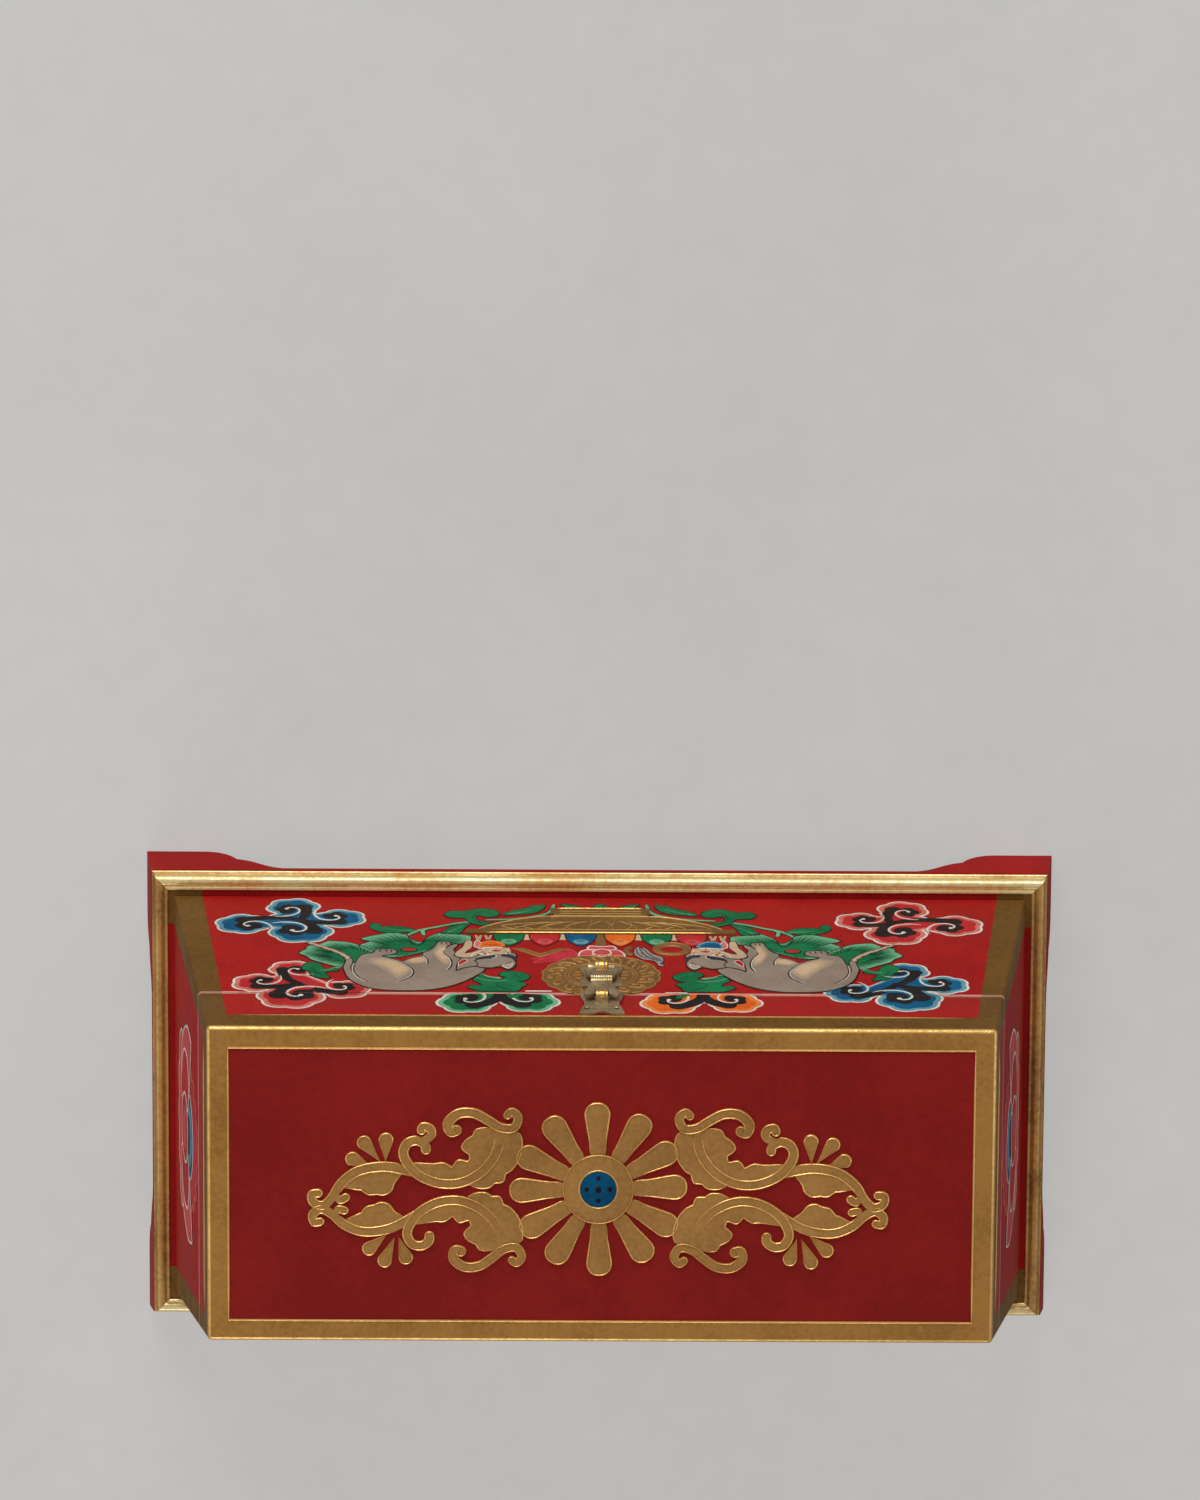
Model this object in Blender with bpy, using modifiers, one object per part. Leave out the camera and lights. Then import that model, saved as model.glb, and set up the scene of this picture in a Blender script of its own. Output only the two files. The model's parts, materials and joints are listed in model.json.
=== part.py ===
"""Wooden keepsake box: splayed sides, a plinth on bracket feet, a gilt base moulding and a hinged, clasped lid.

Sizes are metres and +Z is up. The front faces -Y, and the origin is the middle of the footprint on the floor.
"""

import math

import bmesh
import bpy
from mathutils import Matrix, Vector

# Carcass
SPLAY = 0.142              # outward run of every sloping face for each unit of drop
LID_WIDTH = 0.284          # across the lid's top edge
LID_DEPTH = 0.116          # front to back at the lid's top edge
LID_HEIGHT = 0.0355        # joint line to the top of the lid
BODY_HEIGHT = 0.1045       # foot of the walls to the joint line
BOARD = 0.010              # wall and lid rim, measured level
LID_PANEL = 0.009          # thickness of the lid's top board
LID_EDGE_RADIUS = 0.0016   # rounding of the lid's top edge

# Base moulding, from the foot of the wall outwards
MOULDING_HEIGHT = 0.007
LEDGE_WIDTH = 0.0023       # flat strip beside the wall
INNER_FILLET = 0.0010
TORUS_WIDTH = 0.0044
OUTER_FILLET = 0.0009
OUTER_FILLET_HEIGHT = 0.0016
LEDGE_SINK = 0.0006        # how far the ledge lies under the inner fillet
TORUS_FROM = math.radians(140)
TORUS_TO = math.radians(-60)
TORUS_STEPS = 12

# Plinth and its bracket feet
PLINTH_HEIGHT = 0.0215
PLINTH_BOARD = 0.012
PLINTH_STEP = 0.0003       # how far the plinth stands out past the moulding
APRON_HEIGHT = 0.0026      # wood left under the moulding between the feet
FOOT_FLAT = 0.022          # each foot's flat on the floor, from the corner
TOE_REACH = 0.013          # from the flat to the cusp
CUSP_HEIGHT = 0.0085
TOE_TURN = math.radians(65)
OGEE_REACH = 0.018         # from the cusp to the apron
OGEE_SWING = 0.46          # how strongly the ogee departs from a straight line
BRACKET_STEPS = 6
FOOT_BLOCK = 0.014         # side of the glue block inside each foot
FOOT_BLOCK_LIFT = 0.0015   # the block stays clear of the floor

# Lid hinges
HINGE_SPACING = 0.170      # between the middles of the two hinges
HINGE_LENGTH = 0.025
LEAF_WIDTH = 0.008
LEAF_THICKNESS = 0.0009
KNUCKLE_RADIUS = 0.0018
HINGE_PIN_RADIUS = 0.0009
HINGE_PROUD = 0.0003       # the hinge axis lies this far behind the back face
HINGE_SCREW_SPACING = 0.013
SCREW_HEAD_RADIUS = 0.0016
SCREW_SHANK_RADIUS = 0.0008
SCREW_LENGTH = 0.007

# Clasp; heights are along the sloping front, from the joint line
PLATE_WIDTH = 0.0164
PLATE_HEIGHT = 0.021
PLATE_THICKNESS = 0.0010
LID_PLATE_RISE = 0.0124    # joint line up to the middle of the lid's plate
BODY_PLATE_DROP = 0.0157   # joint line down to the middle of the body's plate
HASP_PIN_DROP = 0.0190     # joint line down to the hasp's pin
HASP_PIN_PROUD = 0.0034    # front face out to the hasp's pin
HASP_PIN_RADIUS = 0.0008
HASP_BARREL_RADIUS = 0.0014
HASP_LENGTH = 0.0300       # pin to the tips of the fork
HASP_LOBE_WIDTH = 0.0118   # across the two lobes beside the body's curl
HASP_LOBE_END = 0.0012     # pin to the ends of the lobes
HASP_THICKNESS = 0.0011
HASP_WAIST_WIDTH = 0.0072
HASP_FLAP_WIDTH = 0.0126
HASP_RIB_RADIUS = 0.0010
HASP_RIB_PLACES = (0.0125, 0.0160)
CURL_WIDTH = 0.0044        # the rolled strip on each plate
CURL_THICKNESS = 0.0010
KNUCKLE_THICKNESS = 0.0017
CURL_STEPS = 14
KNUCKLE_TURN = math.radians(260)   # the body's curl closes round the pin
CATCH_TURN = math.radians(220)     # the lid's curl stays open under the fork
CATCH_RADIUS = 0.0023
CATCH_RISE = 0.0105        # joint line up to the middle of the catch's curl
NAIL_HEAD_RADIUS = 0.0009
NAIL_HEAD_HEIGHT = 0.0006
NAIL_SHANK_RADIUS = 0.00045
NAIL_LENGTH = 0.0055
NAIL_SPACING = 0.0106      # between a plate's two nails
NAIL_FROM_MIDDLE = 0.0058  # from a plate's middle line towards its outer end

# Clearances
SEAT_GAP = 0.0003          # between pieces that are fixed together
LID_GAP = 0.0004           # between the lid and the body
RUN_GAP = 0.0002           # between a pin and its bore
FORK_GAP = 0.0004          # between the catch and the fork's prongs
SIDES = 16                 # sides of a small round piece

# Levels and half sizes that follow from the above
JOINT_Z = PLINTH_HEIGHT + MOULDING_HEIGHT + BODY_HEIGHT
TOP_Z = JOINT_Z + LID_HEIGHT
WALL_FOOT_Z = PLINTH_HEIGHT + MOULDING_HEIGHT
FOOT_OF_WALL = Vector((LID_WIDTH / 2, LID_DEPTH / 2)) + Vector((1, 1)) * SPLAY * (LID_HEIGHT + BODY_HEIGHT)
MOULDING_WIDTH = LEDGE_WIDTH + INNER_FILLET + TORUS_WIDTH + OUTER_FILLET
MITRE_BACK = SEAT_GAP / math.sqrt(2)
JOINT_HALF_DEPTH = LID_DEPTH / 2 + SPLAY * LID_HEIGHT
LEAN = math.atan(SPLAY)
HINGE_AXIS = Vector((0, JOINT_HALF_DEPTH + HINGE_PROUD, JOINT_Z))
FLOOR_OUT = MOULDING_WIDTH + PLINTH_STEP + SPLAY * PLINTH_HEIGHT
CLASP_BORE_RADIUS = HASP_PIN_RADIUS + RUN_GAP
CLASP_KNUCKLE_RADIUS = CLASP_BORE_RADIUS + KNUCKLE_THICKNESS

# The four sides of a ring of boards: name and turn about Z, starting from the front
RING = {"front": 0.0, "right": math.pi / 2, "back": math.pi, "left": -math.pi / 2}

# Finishes: colour, roughness, metallic
RED_LACQUER = ((0.35, 0.016, 0.018), 0.45, 0.0)
GILDING = ((0.42, 0.26, 0.07), 0.40, 0.85)
BARE_WOOD = ((0.48, 0.30, 0.16), 0.70, 0.0)
BRASS = ((0.60, 0.44, 0.18), 0.32, 1.0)


def clear_scene():
    """Remove every object, so that the script can run in any file."""
    for obj in list(bpy.data.objects):
        bpy.data.objects.remove(obj, do_unlink=True)


def new_collection(name):
    """Make a collection under the scene."""
    collection = bpy.data.collections.new(name)
    bpy.context.scene.collection.children.link(collection)
    return collection


clear_scene()
PARTS = new_collection("keepsake_box")
CUTTERS = new_collection("keepsake_box_cutters")


def place(obj, location=(0, 0, 0), rotation=(0, 0, 0), parent=None):
    """Put an object in its place, in its parent's frame where it has one."""
    obj.parent = parent
    obj.location = location
    obj.rotation_euler = rotation
    return obj


def as_part(obj, finish):
    """Give a finished piece its own material and file it with the parts."""
    colour, roughness, metallic = finish
    material = bpy.data.materials.new(obj.name + "_finish")
    material.use_nodes = True
    shader = material.node_tree.nodes["Principled BSDF"]
    shader.inputs["Base Color"].default_value = (*colour, 1.0)
    shader.inputs["Roughness"].default_value = roughness
    shader.inputs["Metallic"].default_value = metallic
    obj.data.materials.clear()
    obj.data.materials.append(material)
    PARTS.objects.link(obj)
    return obj


def as_cutter(obj):
    """File a tool shape with the cutters, hidden from renders."""
    obj.hide_render = True
    obj.display_type = "WIRE"
    CUTTERS.objects.link(obj)
    return obj


def from_bmesh(name, bm):
    """Turn a bmesh into an unlinked object."""
    bm.normal_update()
    bmesh.ops.recalc_face_normals(bm, faces=bm.faces)
    mesh = bpy.data.meshes.new(name)
    bm.to_mesh(mesh)
    bm.free()
    return bpy.data.objects.new(name, mesh)


def box(name, low, high):
    """A box between two corners."""
    low, high = Vector(low), Vector(high)
    bm = bmesh.new()
    bmesh.ops.create_cube(bm, size=1.0)
    bmesh.ops.scale(bm, vec=high - low, verts=bm.verts)
    bmesh.ops.translate(bm, vec=(low + high) / 2, verts=bm.verts)
    return from_bmesh(name, bm)


def rod(name, radius, x_from, x_to, y=0.0, z=0.0):
    """A round bar along X."""
    bm = bmesh.new()
    bmesh.ops.create_cone(bm, cap_ends=True, segments=SIDES, radius1=radius, radius2=radius, depth=x_to - x_from)
    bmesh.ops.rotate(bm, verts=bm.verts, matrix=Matrix.Rotation(math.pi / 2, 3, "Y"))
    bmesh.ops.translate(bm, vec=((x_from + x_to) / 2, y, z), verts=bm.verts)
    obj = from_bmesh(name, bm)
    obj.data.shade_smooth()
    obj.data.set_sharp_from_angle(angle=math.radians(40))
    return obj


def turned(name, profile):
    """A shape turned about Z from (radius, height) points that run from the top to the bottom."""
    bm = bmesh.new()
    points = [bm.verts.new((radius, 0, height)) for radius, height in profile]
    for upper, lower in zip(points, points[1:]):
        bm.edges.new((upper, lower))
    obj = from_bmesh(name, bm)
    turn = obj.modifiers.new("turn", "SCREW")
    turn.steps = SIDES
    turn.render_steps = SIDES
    turn.use_merge_vertices = True
    turn.merge_threshold = 0.00001
    return obj


def flat_shape(name, outline, thickness, smooth=False, resolution=4):
    """A plate in the XY plane, from a 2D curve that is filled, given its thickness and made a mesh.

    A smooth outline is rounded through its points. Points marked with a third value keep a corner there.
    """
    curve = bpy.data.curves.new(name + "_outline", "CURVE")
    curve.dimensions = "2D"
    curve.fill_mode = "BOTH"
    curve.extrude = thickness / 2
    curve.resolution_u = resolution
    spline = curve.splines.new("BEZIER")
    spline.bezier_points.add(len(outline) - 1)
    spline.use_cyclic_u = True
    for point, (x, y, *corner) in zip(spline.bezier_points, outline):
        point.co = (x, y, 0)
        kind = "AUTO" if smooth and not corner else "VECTOR"
        point.handle_left_type = point.handle_right_type = kind
    if not smooth:
        curve.resolution_u = 1
    drawn = bpy.data.objects.new(name + "_outline", curve)
    bpy.context.scene.collection.objects.link(drawn)
    evaluated = drawn.evaluated_get(bpy.context.evaluated_depsgraph_get())
    mesh = bpy.data.meshes.new_from_object(evaluated)
    bpy.data.objects.remove(drawn, do_unlink=True)
    bm = bmesh.new()
    bm.from_mesh(mesh)
    bmesh.ops.remove_doubles(bm, verts=bm.verts, dist=0.000001)
    bmesh.ops.recalc_face_normals(bm, faces=bm.faces)
    bm.to_mesh(mesh)
    bm.free()
    mesh.name = name
    return bpy.data.objects.new(name, mesh)


def combine(obj, tool, operation):
    """Cut a shape from an object, or join one to it."""
    modifier = obj.modifiers.new(tool.name, "BOOLEAN")
    modifier.operation = operation
    modifier.object = tool
    modifier.solver = "EXACT"


def cut(obj, tool):
    """Take a tool shape out of an object."""
    combine(obj, tool, "DIFFERENCE")


def join(obj, tool):
    """Add a tool shape to an object."""
    combine(obj, tool, "UNION")


def frame_empty(name, location, rotation=(0, 0, 0), parent=None):
    """An empty that pieces are placed from."""
    empty = bpy.data.objects.new(name, None)
    empty.empty_display_size = 0.01
    bpy.context.scene.collection.objects.link(empty)
    return place(empty, location, rotation, parent)


LID_AXIS = frame_empty("lid_axis", HINGE_AXIS)
CLASP_SEAT = frame_empty("clasp_seat", (0, -JOINT_HALF_DEPTH, JOINT_Z), (-LEAN, 0, 0))
LID_CLASP_SEAT = frame_empty(
    "lid_clasp_seat", Vector((0, -JOINT_HALF_DEPTH, JOINT_Z)) - HINGE_AXIS, (-LEAN, 0, 0), LID_AXIS
)
HASP_AXIS = frame_empty("hasp_axis", (0, -HASP_PIN_PROUD, -HASP_PIN_DROP), parent=CLASP_SEAT)


def on_lid(obj):
    """Hang a piece that is modelled in place on the lid's axis."""
    obj.parent = LID_AXIS
    obj.matrix_parent_inverse = Matrix.Translation(-HINGE_AXIS)
    return obj


def ring_sizes(side):
    """Half the run of one side's boards, and how far that side lies from the middle, at the foot of the walls."""
    if side in ("front", "back"):
        return FOOT_OF_WALL.x, FOOT_OF_WALL.y
    return FOOT_OF_WALL.y, FOOT_OF_WALL.x


def mitred_board(name, side, profile):
    """A board of one side of a ring, mitred at both ends.

    The profile holds (outward, height) points, outward from the foot of the walls.
    """
    half_run, offset = ring_sizes(side)
    bm = bmesh.new()
    end = [bm.verts.new((MITRE_BACK - half_run - out, -offset - out, height)) for out, height in profile]
    grown = bmesh.ops.extrude_face_region(bm, geom=[bm.faces.new(end)])
    for vert in grown["geom"]:
        if isinstance(vert, bmesh.types.BMVert):
            vert.co.x = -vert.co.x
    return place(from_bmesh(name, bm), rotation=(0, 0, RING[side]))


def sloped_profile(low, high, thickness, out=0.0, out_at=WALL_FOOT_Z):
    """Cross-section of a splayed board between two heights; its outer face passes through out at out_at."""
    def outer(height):
        return out - SPLAY * (height - out_at)
    face = [(outer(low), low), (outer(high), high)]
    return face + [(reach - thickness, height) for reach, height in reversed(face)]


def moulding_profile():
    """Cross-section of the base moulding: ledge, fillet, torus and outer fillet."""
    top = WALL_FOOT_Z
    bottom = PLINTH_HEIGHT + SEAT_GAP
    fillet_from = LEDGE_WIDTH
    fillet_to = LEDGE_WIDTH + INNER_FILLET
    outer_z = PLINTH_HEIGHT + OUTER_FILLET_HEIGHT
    middle = Vector((fillet_to + TORUS_WIDTH / 2, (top + outer_z) / 2))
    half = Vector((TORUS_WIDTH / 2, (top - outer_z) / 2))
    points = [(SEAT_GAP / 2, bottom), (SEAT_GAP / 2, top - LEDGE_SINK), (fillet_from, top - LEDGE_SINK)]
    points += [(fillet_from, top), (fillet_to, top)]
    for step in range(TORUS_STEPS + 1):
        angle = TORUS_FROM + (TORUS_TO - TORUS_FROM) * step / TORUS_STEPS
        points.append((middle.x + half.x * math.cos(angle), middle.y + half.y * math.sin(angle)))
    last = points[-1][0]
    points += [(last, outer_z), (MOULDING_WIDTH, outer_z), (MOULDING_WIDTH, bottom)]
    return points


def bracket_arch(half_floor):
    """Outline of the gap between two bracket feet, from the left foot to the right one."""
    flat_end = half_floor - FOOT_FLAT
    cusp = flat_end - TOE_REACH
    apron_z = PLINTH_HEIGHT - APRON_HEIGHT
    right = [(flat_end, -PLINTH_HEIGHT), (flat_end, 0.0)]
    for step in range(1, BRACKET_STEPS + 1):
        turn = TOE_TURN * step / BRACKET_STEPS
        reach = TOE_REACH * math.sin(turn) / math.sin(TOE_TURN)
        right.append((flat_end - reach, CUSP_HEIGHT * (1 - math.cos(turn)) / (1 - math.cos(TOE_TURN))))
    for step in range(1, BRACKET_STEPS + 1):
        along = step / BRACKET_STEPS
        rise = along - OGEE_SWING * math.sin(math.tau * along) / math.tau
        right.append((cusp - OGEE_REACH * along, CUSP_HEIGHT + (apron_z - CUSP_HEIGHT) * rise))
    return right + [(-x, z) for x, z in reversed(right)]


def build_plinth():
    """The four bracket boards and the glue blocks inside their corners."""
    top_out = MOULDING_WIDTH + PLINTH_STEP
    profile = sloped_profile(0.0, PLINTH_HEIGHT, PLINTH_BOARD, out=top_out, out_at=PLINTH_HEIGHT)
    for side, turn in RING.items():
        half_run, offset = ring_sizes(side)
        board = mitred_board("plinth_" + side, side, profile)
        arch = flat_shape("arch_" + side, bracket_arch(half_run + FLOOR_OUT), 3 * PLINTH_BOARD)
        middle = Vector((0, -offset - FLOOR_OUT + PLINTH_BOARD / 2, 0))
        place(arch, Matrix.Rotation(turn, 3, "Z") @ middle, (math.pi / 2, 0, turn))
        cut(board, as_cutter(arch))
        as_part(board, RED_LACQUER)

    for x_name, x_sign in (("left", -1), ("right", 1)):
        for y_name, y_sign in (("front", -1), ("back", 1)):
            bm = bmesh.new()
            bmesh.ops.create_cube(bm, size=2.0)
            for vert in bm.verts:
                height = PLINTH_HEIGHT - SEAT_GAP if vert.co.z > 0 else FOOT_BLOCK_LIFT
                inner_out = FLOOR_OUT - SPLAY * height - PLINTH_BOARD - SEAT_GAP
                against = FOOT_OF_WALL + Vector((1, 1)) * inner_out
                inside = FOOT_OF_WALL + Vector((1, 1)) * (top_out - PLINTH_BOARD - FOOT_BLOCK)
                x = against.x if vert.co.x > 0 else inside.x
                y = against.y if vert.co.y > 0 else inside.y
                vert.co = (x_sign * x, y_sign * y, height)
            as_part(from_bmesh(f"foot_block_{y_name}_{x_name}", bm), BARE_WOOD)


def build_base():
    """The bottom board and the gilt moulding that covers its edge."""
    half = FOOT_OF_WALL - Vector((1, 1)) * SEAT_GAP / 2
    low = (-half.x, -half.y, PLINTH_HEIGHT + SEAT_GAP)
    high = (half.x, half.y, WALL_FOOT_Z - SEAT_GAP)
    as_part(box("base_board", low, high), BARE_WOOD)
    for side in RING:
        as_part(mitred_board("moulding_" + side, side, moulding_profile()), GILDING)


def build_body():
    """The four splayed walls."""
    profile = sloped_profile(WALL_FOOT_Z, JOINT_Z - LID_GAP / 2, BOARD)
    return {side: as_part(mitred_board("wall_" + side, side, profile), RED_LACQUER) for side in RING}


def build_lid():
    """The lid's four rim boards and its top board."""
    panel_z = TOP_Z - LID_PANEL
    profile = sloped_profile(JOINT_Z + LID_GAP / 2, panel_z - SEAT_GAP, BOARD)
    rims = {}
    for side in RING:
        rims[side] = as_part(on_lid(mitred_board("lid_rim_" + side, side, profile)), RED_LACQUER)

    bm = bmesh.new()
    bmesh.ops.create_cube(bm, size=2.0)
    for vert in bm.verts:
        spread = 0.0 if vert.co.z > 0 else SPLAY * LID_PANEL
        height = TOP_Z if vert.co.z > 0 else panel_z
        vert.co = (vert.co.x * (LID_WIDTH / 2 + spread), vert.co.y * (LID_DEPTH / 2 + spread), height)
    upper = [edge for edge in bm.edges if all(vert.co.z > panel_z + LID_PANEL / 2 for vert in edge.verts)]
    bmesh.ops.bevel(
        bm, geom=upper, offset=LID_EDGE_RADIUS, offset_type="OFFSET", affect="EDGES", segments=3, profile=0.5
    )
    as_part(on_lid(from_bmesh("lid_panel", bm)), RED_LACQUER)
    return rims


def screw_profile(grow=0.0):
    """A countersunk wood screw with its head's face at height 0, or the hole for one."""
    head = SCREW_HEAD_RADIUS + grow
    shank = SCREW_SHANK_RADIUS + grow
    neck = -(SCREW_HEAD_RADIUS - SCREW_SHANK_RADIUS)
    tip = -SCREW_LENGTH - grow
    point = tip + 2 * SCREW_SHANK_RADIUS
    return [(0, grow), (head, grow), (head, 0), (shank, neck), (shank, point), (0, tip)] if grow else \
        [(0, 0), (head, 0), (shank, neck), (shank, point), (0, tip)]


def build_hinge(name, middle_x, wall, rim):
    """One butt hinge let into the wall's top and the lid rim's underside, with its pin and screws."""
    axis_y, axis_z = HINGE_AXIS.y, HINGE_AXIS.z
    x_ends = (middle_x - HINGE_LENGTH / 2, middle_x + HINGE_LENGTH / 2)
    quarter = HINGE_LENGTH / 4
    outer_knuckles = ((x_ends[0], middle_x - quarter), (middle_x + quarter, x_ends[1]))
    middle_knuckle = ((middle_x - quarter + SEAT_GAP, middle_x + quarter - SEAT_GAP),)
    leaf_top = LID_GAP / 2
    leaf_back = leaf_top + LEAF_THICKNESS

    def barrel(label, radius, span, spare=0.0):
        return as_cutter(rod(f"{name}_{label}", radius, span[0] - spare, span[1] + spare, axis_y, axis_z))

    spare = Vector((SEAT_GAP, SEAT_GAP, SEAT_GAP))
    mortise = as_cutter(box(
        name + "_mortise",
        Vector((x_ends[0], axis_y - LEAF_WIDTH, axis_z - leaf_back)) - spare,
        Vector((x_ends[1], axis_y + LEAF_WIDTH, axis_z + leaf_back)) + spare,
    ))
    relief = barrel("relief", KNUCKLE_RADIUS + SEAT_GAP, x_ends, SEAT_GAP)
    for wood in (wall, rim):
        cut(wood, mortise)
        cut(wood, relief)
    bore = barrel("bore", HINGE_PIN_RADIUS + RUN_GAP, x_ends, SEAT_GAP)

    leaves = (
        ("body", -1, wall, outer_knuckles, middle_knuckle),
        ("lid", 1, rim, middle_knuckle, outer_knuckles),
    )
    for owner, up, wood, own, other in leaves:
        z_near, z_far = sorted((axis_z + up * leaf_top, axis_z + up * leaf_back))
        near, far = (x_ends[0], axis_y - LEAF_WIDTH, z_near), (x_ends[1], axis_y, z_far)
        leaf = box(f"{name}_{owner}_leaf", near, far)
        for count, span in enumerate(other):
            cut(leaf, barrel(f"{owner}_clear_{count}", KNUCKLE_RADIUS + SEAT_GAP, span, SEAT_GAP))
        for count, span in enumerate(own):
            join(leaf, barrel(f"{owner}_knuckle_{count}", KNUCKLE_RADIUS, span))
        cut(leaf, bore)
        for label, sign in (("left", -1), ("right", 1)):
            seat = Vector((
                middle_x + sign * HINGE_SCREW_SPACING / 2,
                axis_y - (LEAF_WIDTH + KNUCKLE_RADIUS) / 2,
                axis_z + up * leaf_top,
            ))
            facing = (math.pi if up > 0 else 0, 0, 0)
            hole = turned(f"{name}_{owner}_{label}_hole", screw_profile(SEAT_GAP))
            as_cutter(place(hole, seat, facing))
            cut(leaf, hole)
            cut(wood, hole)
            screw = turned(f"hinge_screw_{name.split('_')[1]}_{owner}_{label}", screw_profile())
            place(screw, seat, facing)
            as_part(on_lid(screw) if up > 0 else screw, BRASS)
        as_part(on_lid(leaf) if up > 0 else leaf, BRASS)
    as_part(rod(name + "_pin", HINGE_PIN_RADIUS, *x_ends, axis_y, axis_z), BRASS)


def butterfly_outline():
    """Outline of a clasp plate: four pointed wings, nipped in at each side and at both ends."""
    half_width, half_height = PLATE_WIDTH / 2, PLATE_HEIGHT / 2
    quarter = [
        (0.0, 0.84 * half_height),
        (0.46 * half_width, 0.97 * half_height),
        (1.00 * half_width, 1.00 * half_height, True),
        (0.90 * half_width, 0.55 * half_height),
        (0.76 * half_width, 0.00 * half_height),
    ]
    top_right = quarter
    lower_right = [(x, -z, *rest) for x, z, *rest in reversed(quarter[:-1])]
    right = top_right + lower_right
    return right + [(-x, z, *rest) for x, z, *rest in reversed(right[1:-1])]


def hasp_outline():
    """Outline of the hasp: lobes beside the body's curl, a ribbed waist and a winged fork for the catch."""
    lobe, waist, wing = HASP_LOBE_WIDTH / 2, HASP_WAIST_WIDTH / 2, HASP_FLAP_WIDTH / 2
    slot = CURL_WIDTH / 2 + FORK_GAP
    lobe_foot = CLASP_KNUCKLE_RADIUS + FORK_GAP
    fork_foot = HASP_PIN_DROP + CATCH_RISE - 2 * CATCH_RADIUS
    rib_from, rib_to = HASP_RIB_PLACES[0] - HASP_RIB_RADIUS, HASP_RIB_PLACES[-1] + HASP_RIB_RADIUS
    flare = (rib_to + HASP_LENGTH) / 2
    right = [
        (slot, lobe_foot, True),
        (slot, -HASP_LOBE_END, True),
        ((slot + 2 * lobe) / 3, -HASP_LOBE_END),
        (lobe, rib_from / 6),
        ((waist + 3 * lobe) / 4, 2 * rib_from / 3),
        (waist, rib_from, True),
        (waist, rib_to, True),
        ((waist + 2 * wing) / 3, flare),
        (wing, HASP_LENGTH - HASP_THICKNESS),
        (0.9 * wing, HASP_LENGTH, True),
        (slot, HASP_LENGTH - HASP_THICKNESS, True),
        (slot, fork_foot, True),
    ]
    return right + [(-x, *rest) for x, *rest in reversed(right)]


def curl_outline(radius, middle, turn, thickness=CURL_THICKNESS):
    """Side view of a rolled strip: it leaves the plate, curls outwards and turns back towards the plate.

    The middle of the roll lies this far out of the sloping front, and heights are measured from it.
    """
    inner = radius - thickness
    root = PLATE_THICKNESS / 2
    angles = [math.pi / 2 - turn * step / CURL_STEPS for step in range(CURL_STEPS + 1)]
    outer_arc = [(middle + radius * math.cos(a), radius * math.sin(a)) for a in angles]
    inner_arc = [(middle + inner * math.cos(a), inner * math.sin(a)) for a in reversed(angles)]
    return [(-out, up) for out, up in [(root, radius)] + outer_arc + inner_arc + [(root, inner)]]


def nail_profile(grow=0.0):
    """A round-headed nail whose head sits on height 0, or the hole for its shank."""
    shank = NAIL_SHANK_RADIUS + grow
    tip = -NAIL_LENGTH - grow
    if grow:
        return [(0, NAIL_HEAD_HEIGHT), (shank, NAIL_HEAD_HEIGHT), (shank, tip), (0, tip)]
    dome = [(NAIL_HEAD_RADIUS * math.sin(a), NAIL_HEAD_HEIGHT * math.cos(a))
            for a in (math.radians(30 * step) for step in range(4))]
    return dome + [(shank, 0), (shank, tip + 2 * shank), (0, tip)]


def build_clasp_plate(name, seat, middle, outer_way, wood):
    """One butterfly plate on the sloping front, with its two nails."""
    plate_y = -(SEAT_GAP + PLATE_THICKNESS / 2)
    plate = flat_shape(name, butterfly_outline(), PLATE_THICKNESS, smooth=True)
    place(plate, (0, plate_y, middle), (math.pi / 2, 0, 0), seat)
    owner = name.split("_")[1]
    for label, sign in (("left", -1), ("right", 1)):
        head_seat = -(2 * SEAT_GAP + PLATE_THICKNESS)
        spot = (sign * NAIL_SPACING / 2, head_seat, middle + outer_way * NAIL_FROM_MIDDLE)
        hole = turned(f"{name}_{label}_hole", nail_profile(SEAT_GAP))
        as_cutter(place(hole, spot, (math.pi / 2, 0, 0), seat))
        cut(plate, hole)
        cut(wood, hole)
        nail = turned(f"clasp_nail_{owner}_{label}", nail_profile())
        as_part(place(nail, spot, (math.pi / 2, 0, 0), seat), BRASS)
    return plate


def build_curl(plate, name, outline, seat, rise):
    """Roll a strip of a clasp plate into a curl on its middle line."""
    curl = flat_shape(name, outline, CURL_WIDTH)
    as_cutter(place(curl, (0, 0, rise), (math.pi / 2, 0, math.pi / 2), seat))
    join(plate, curl)


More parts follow.
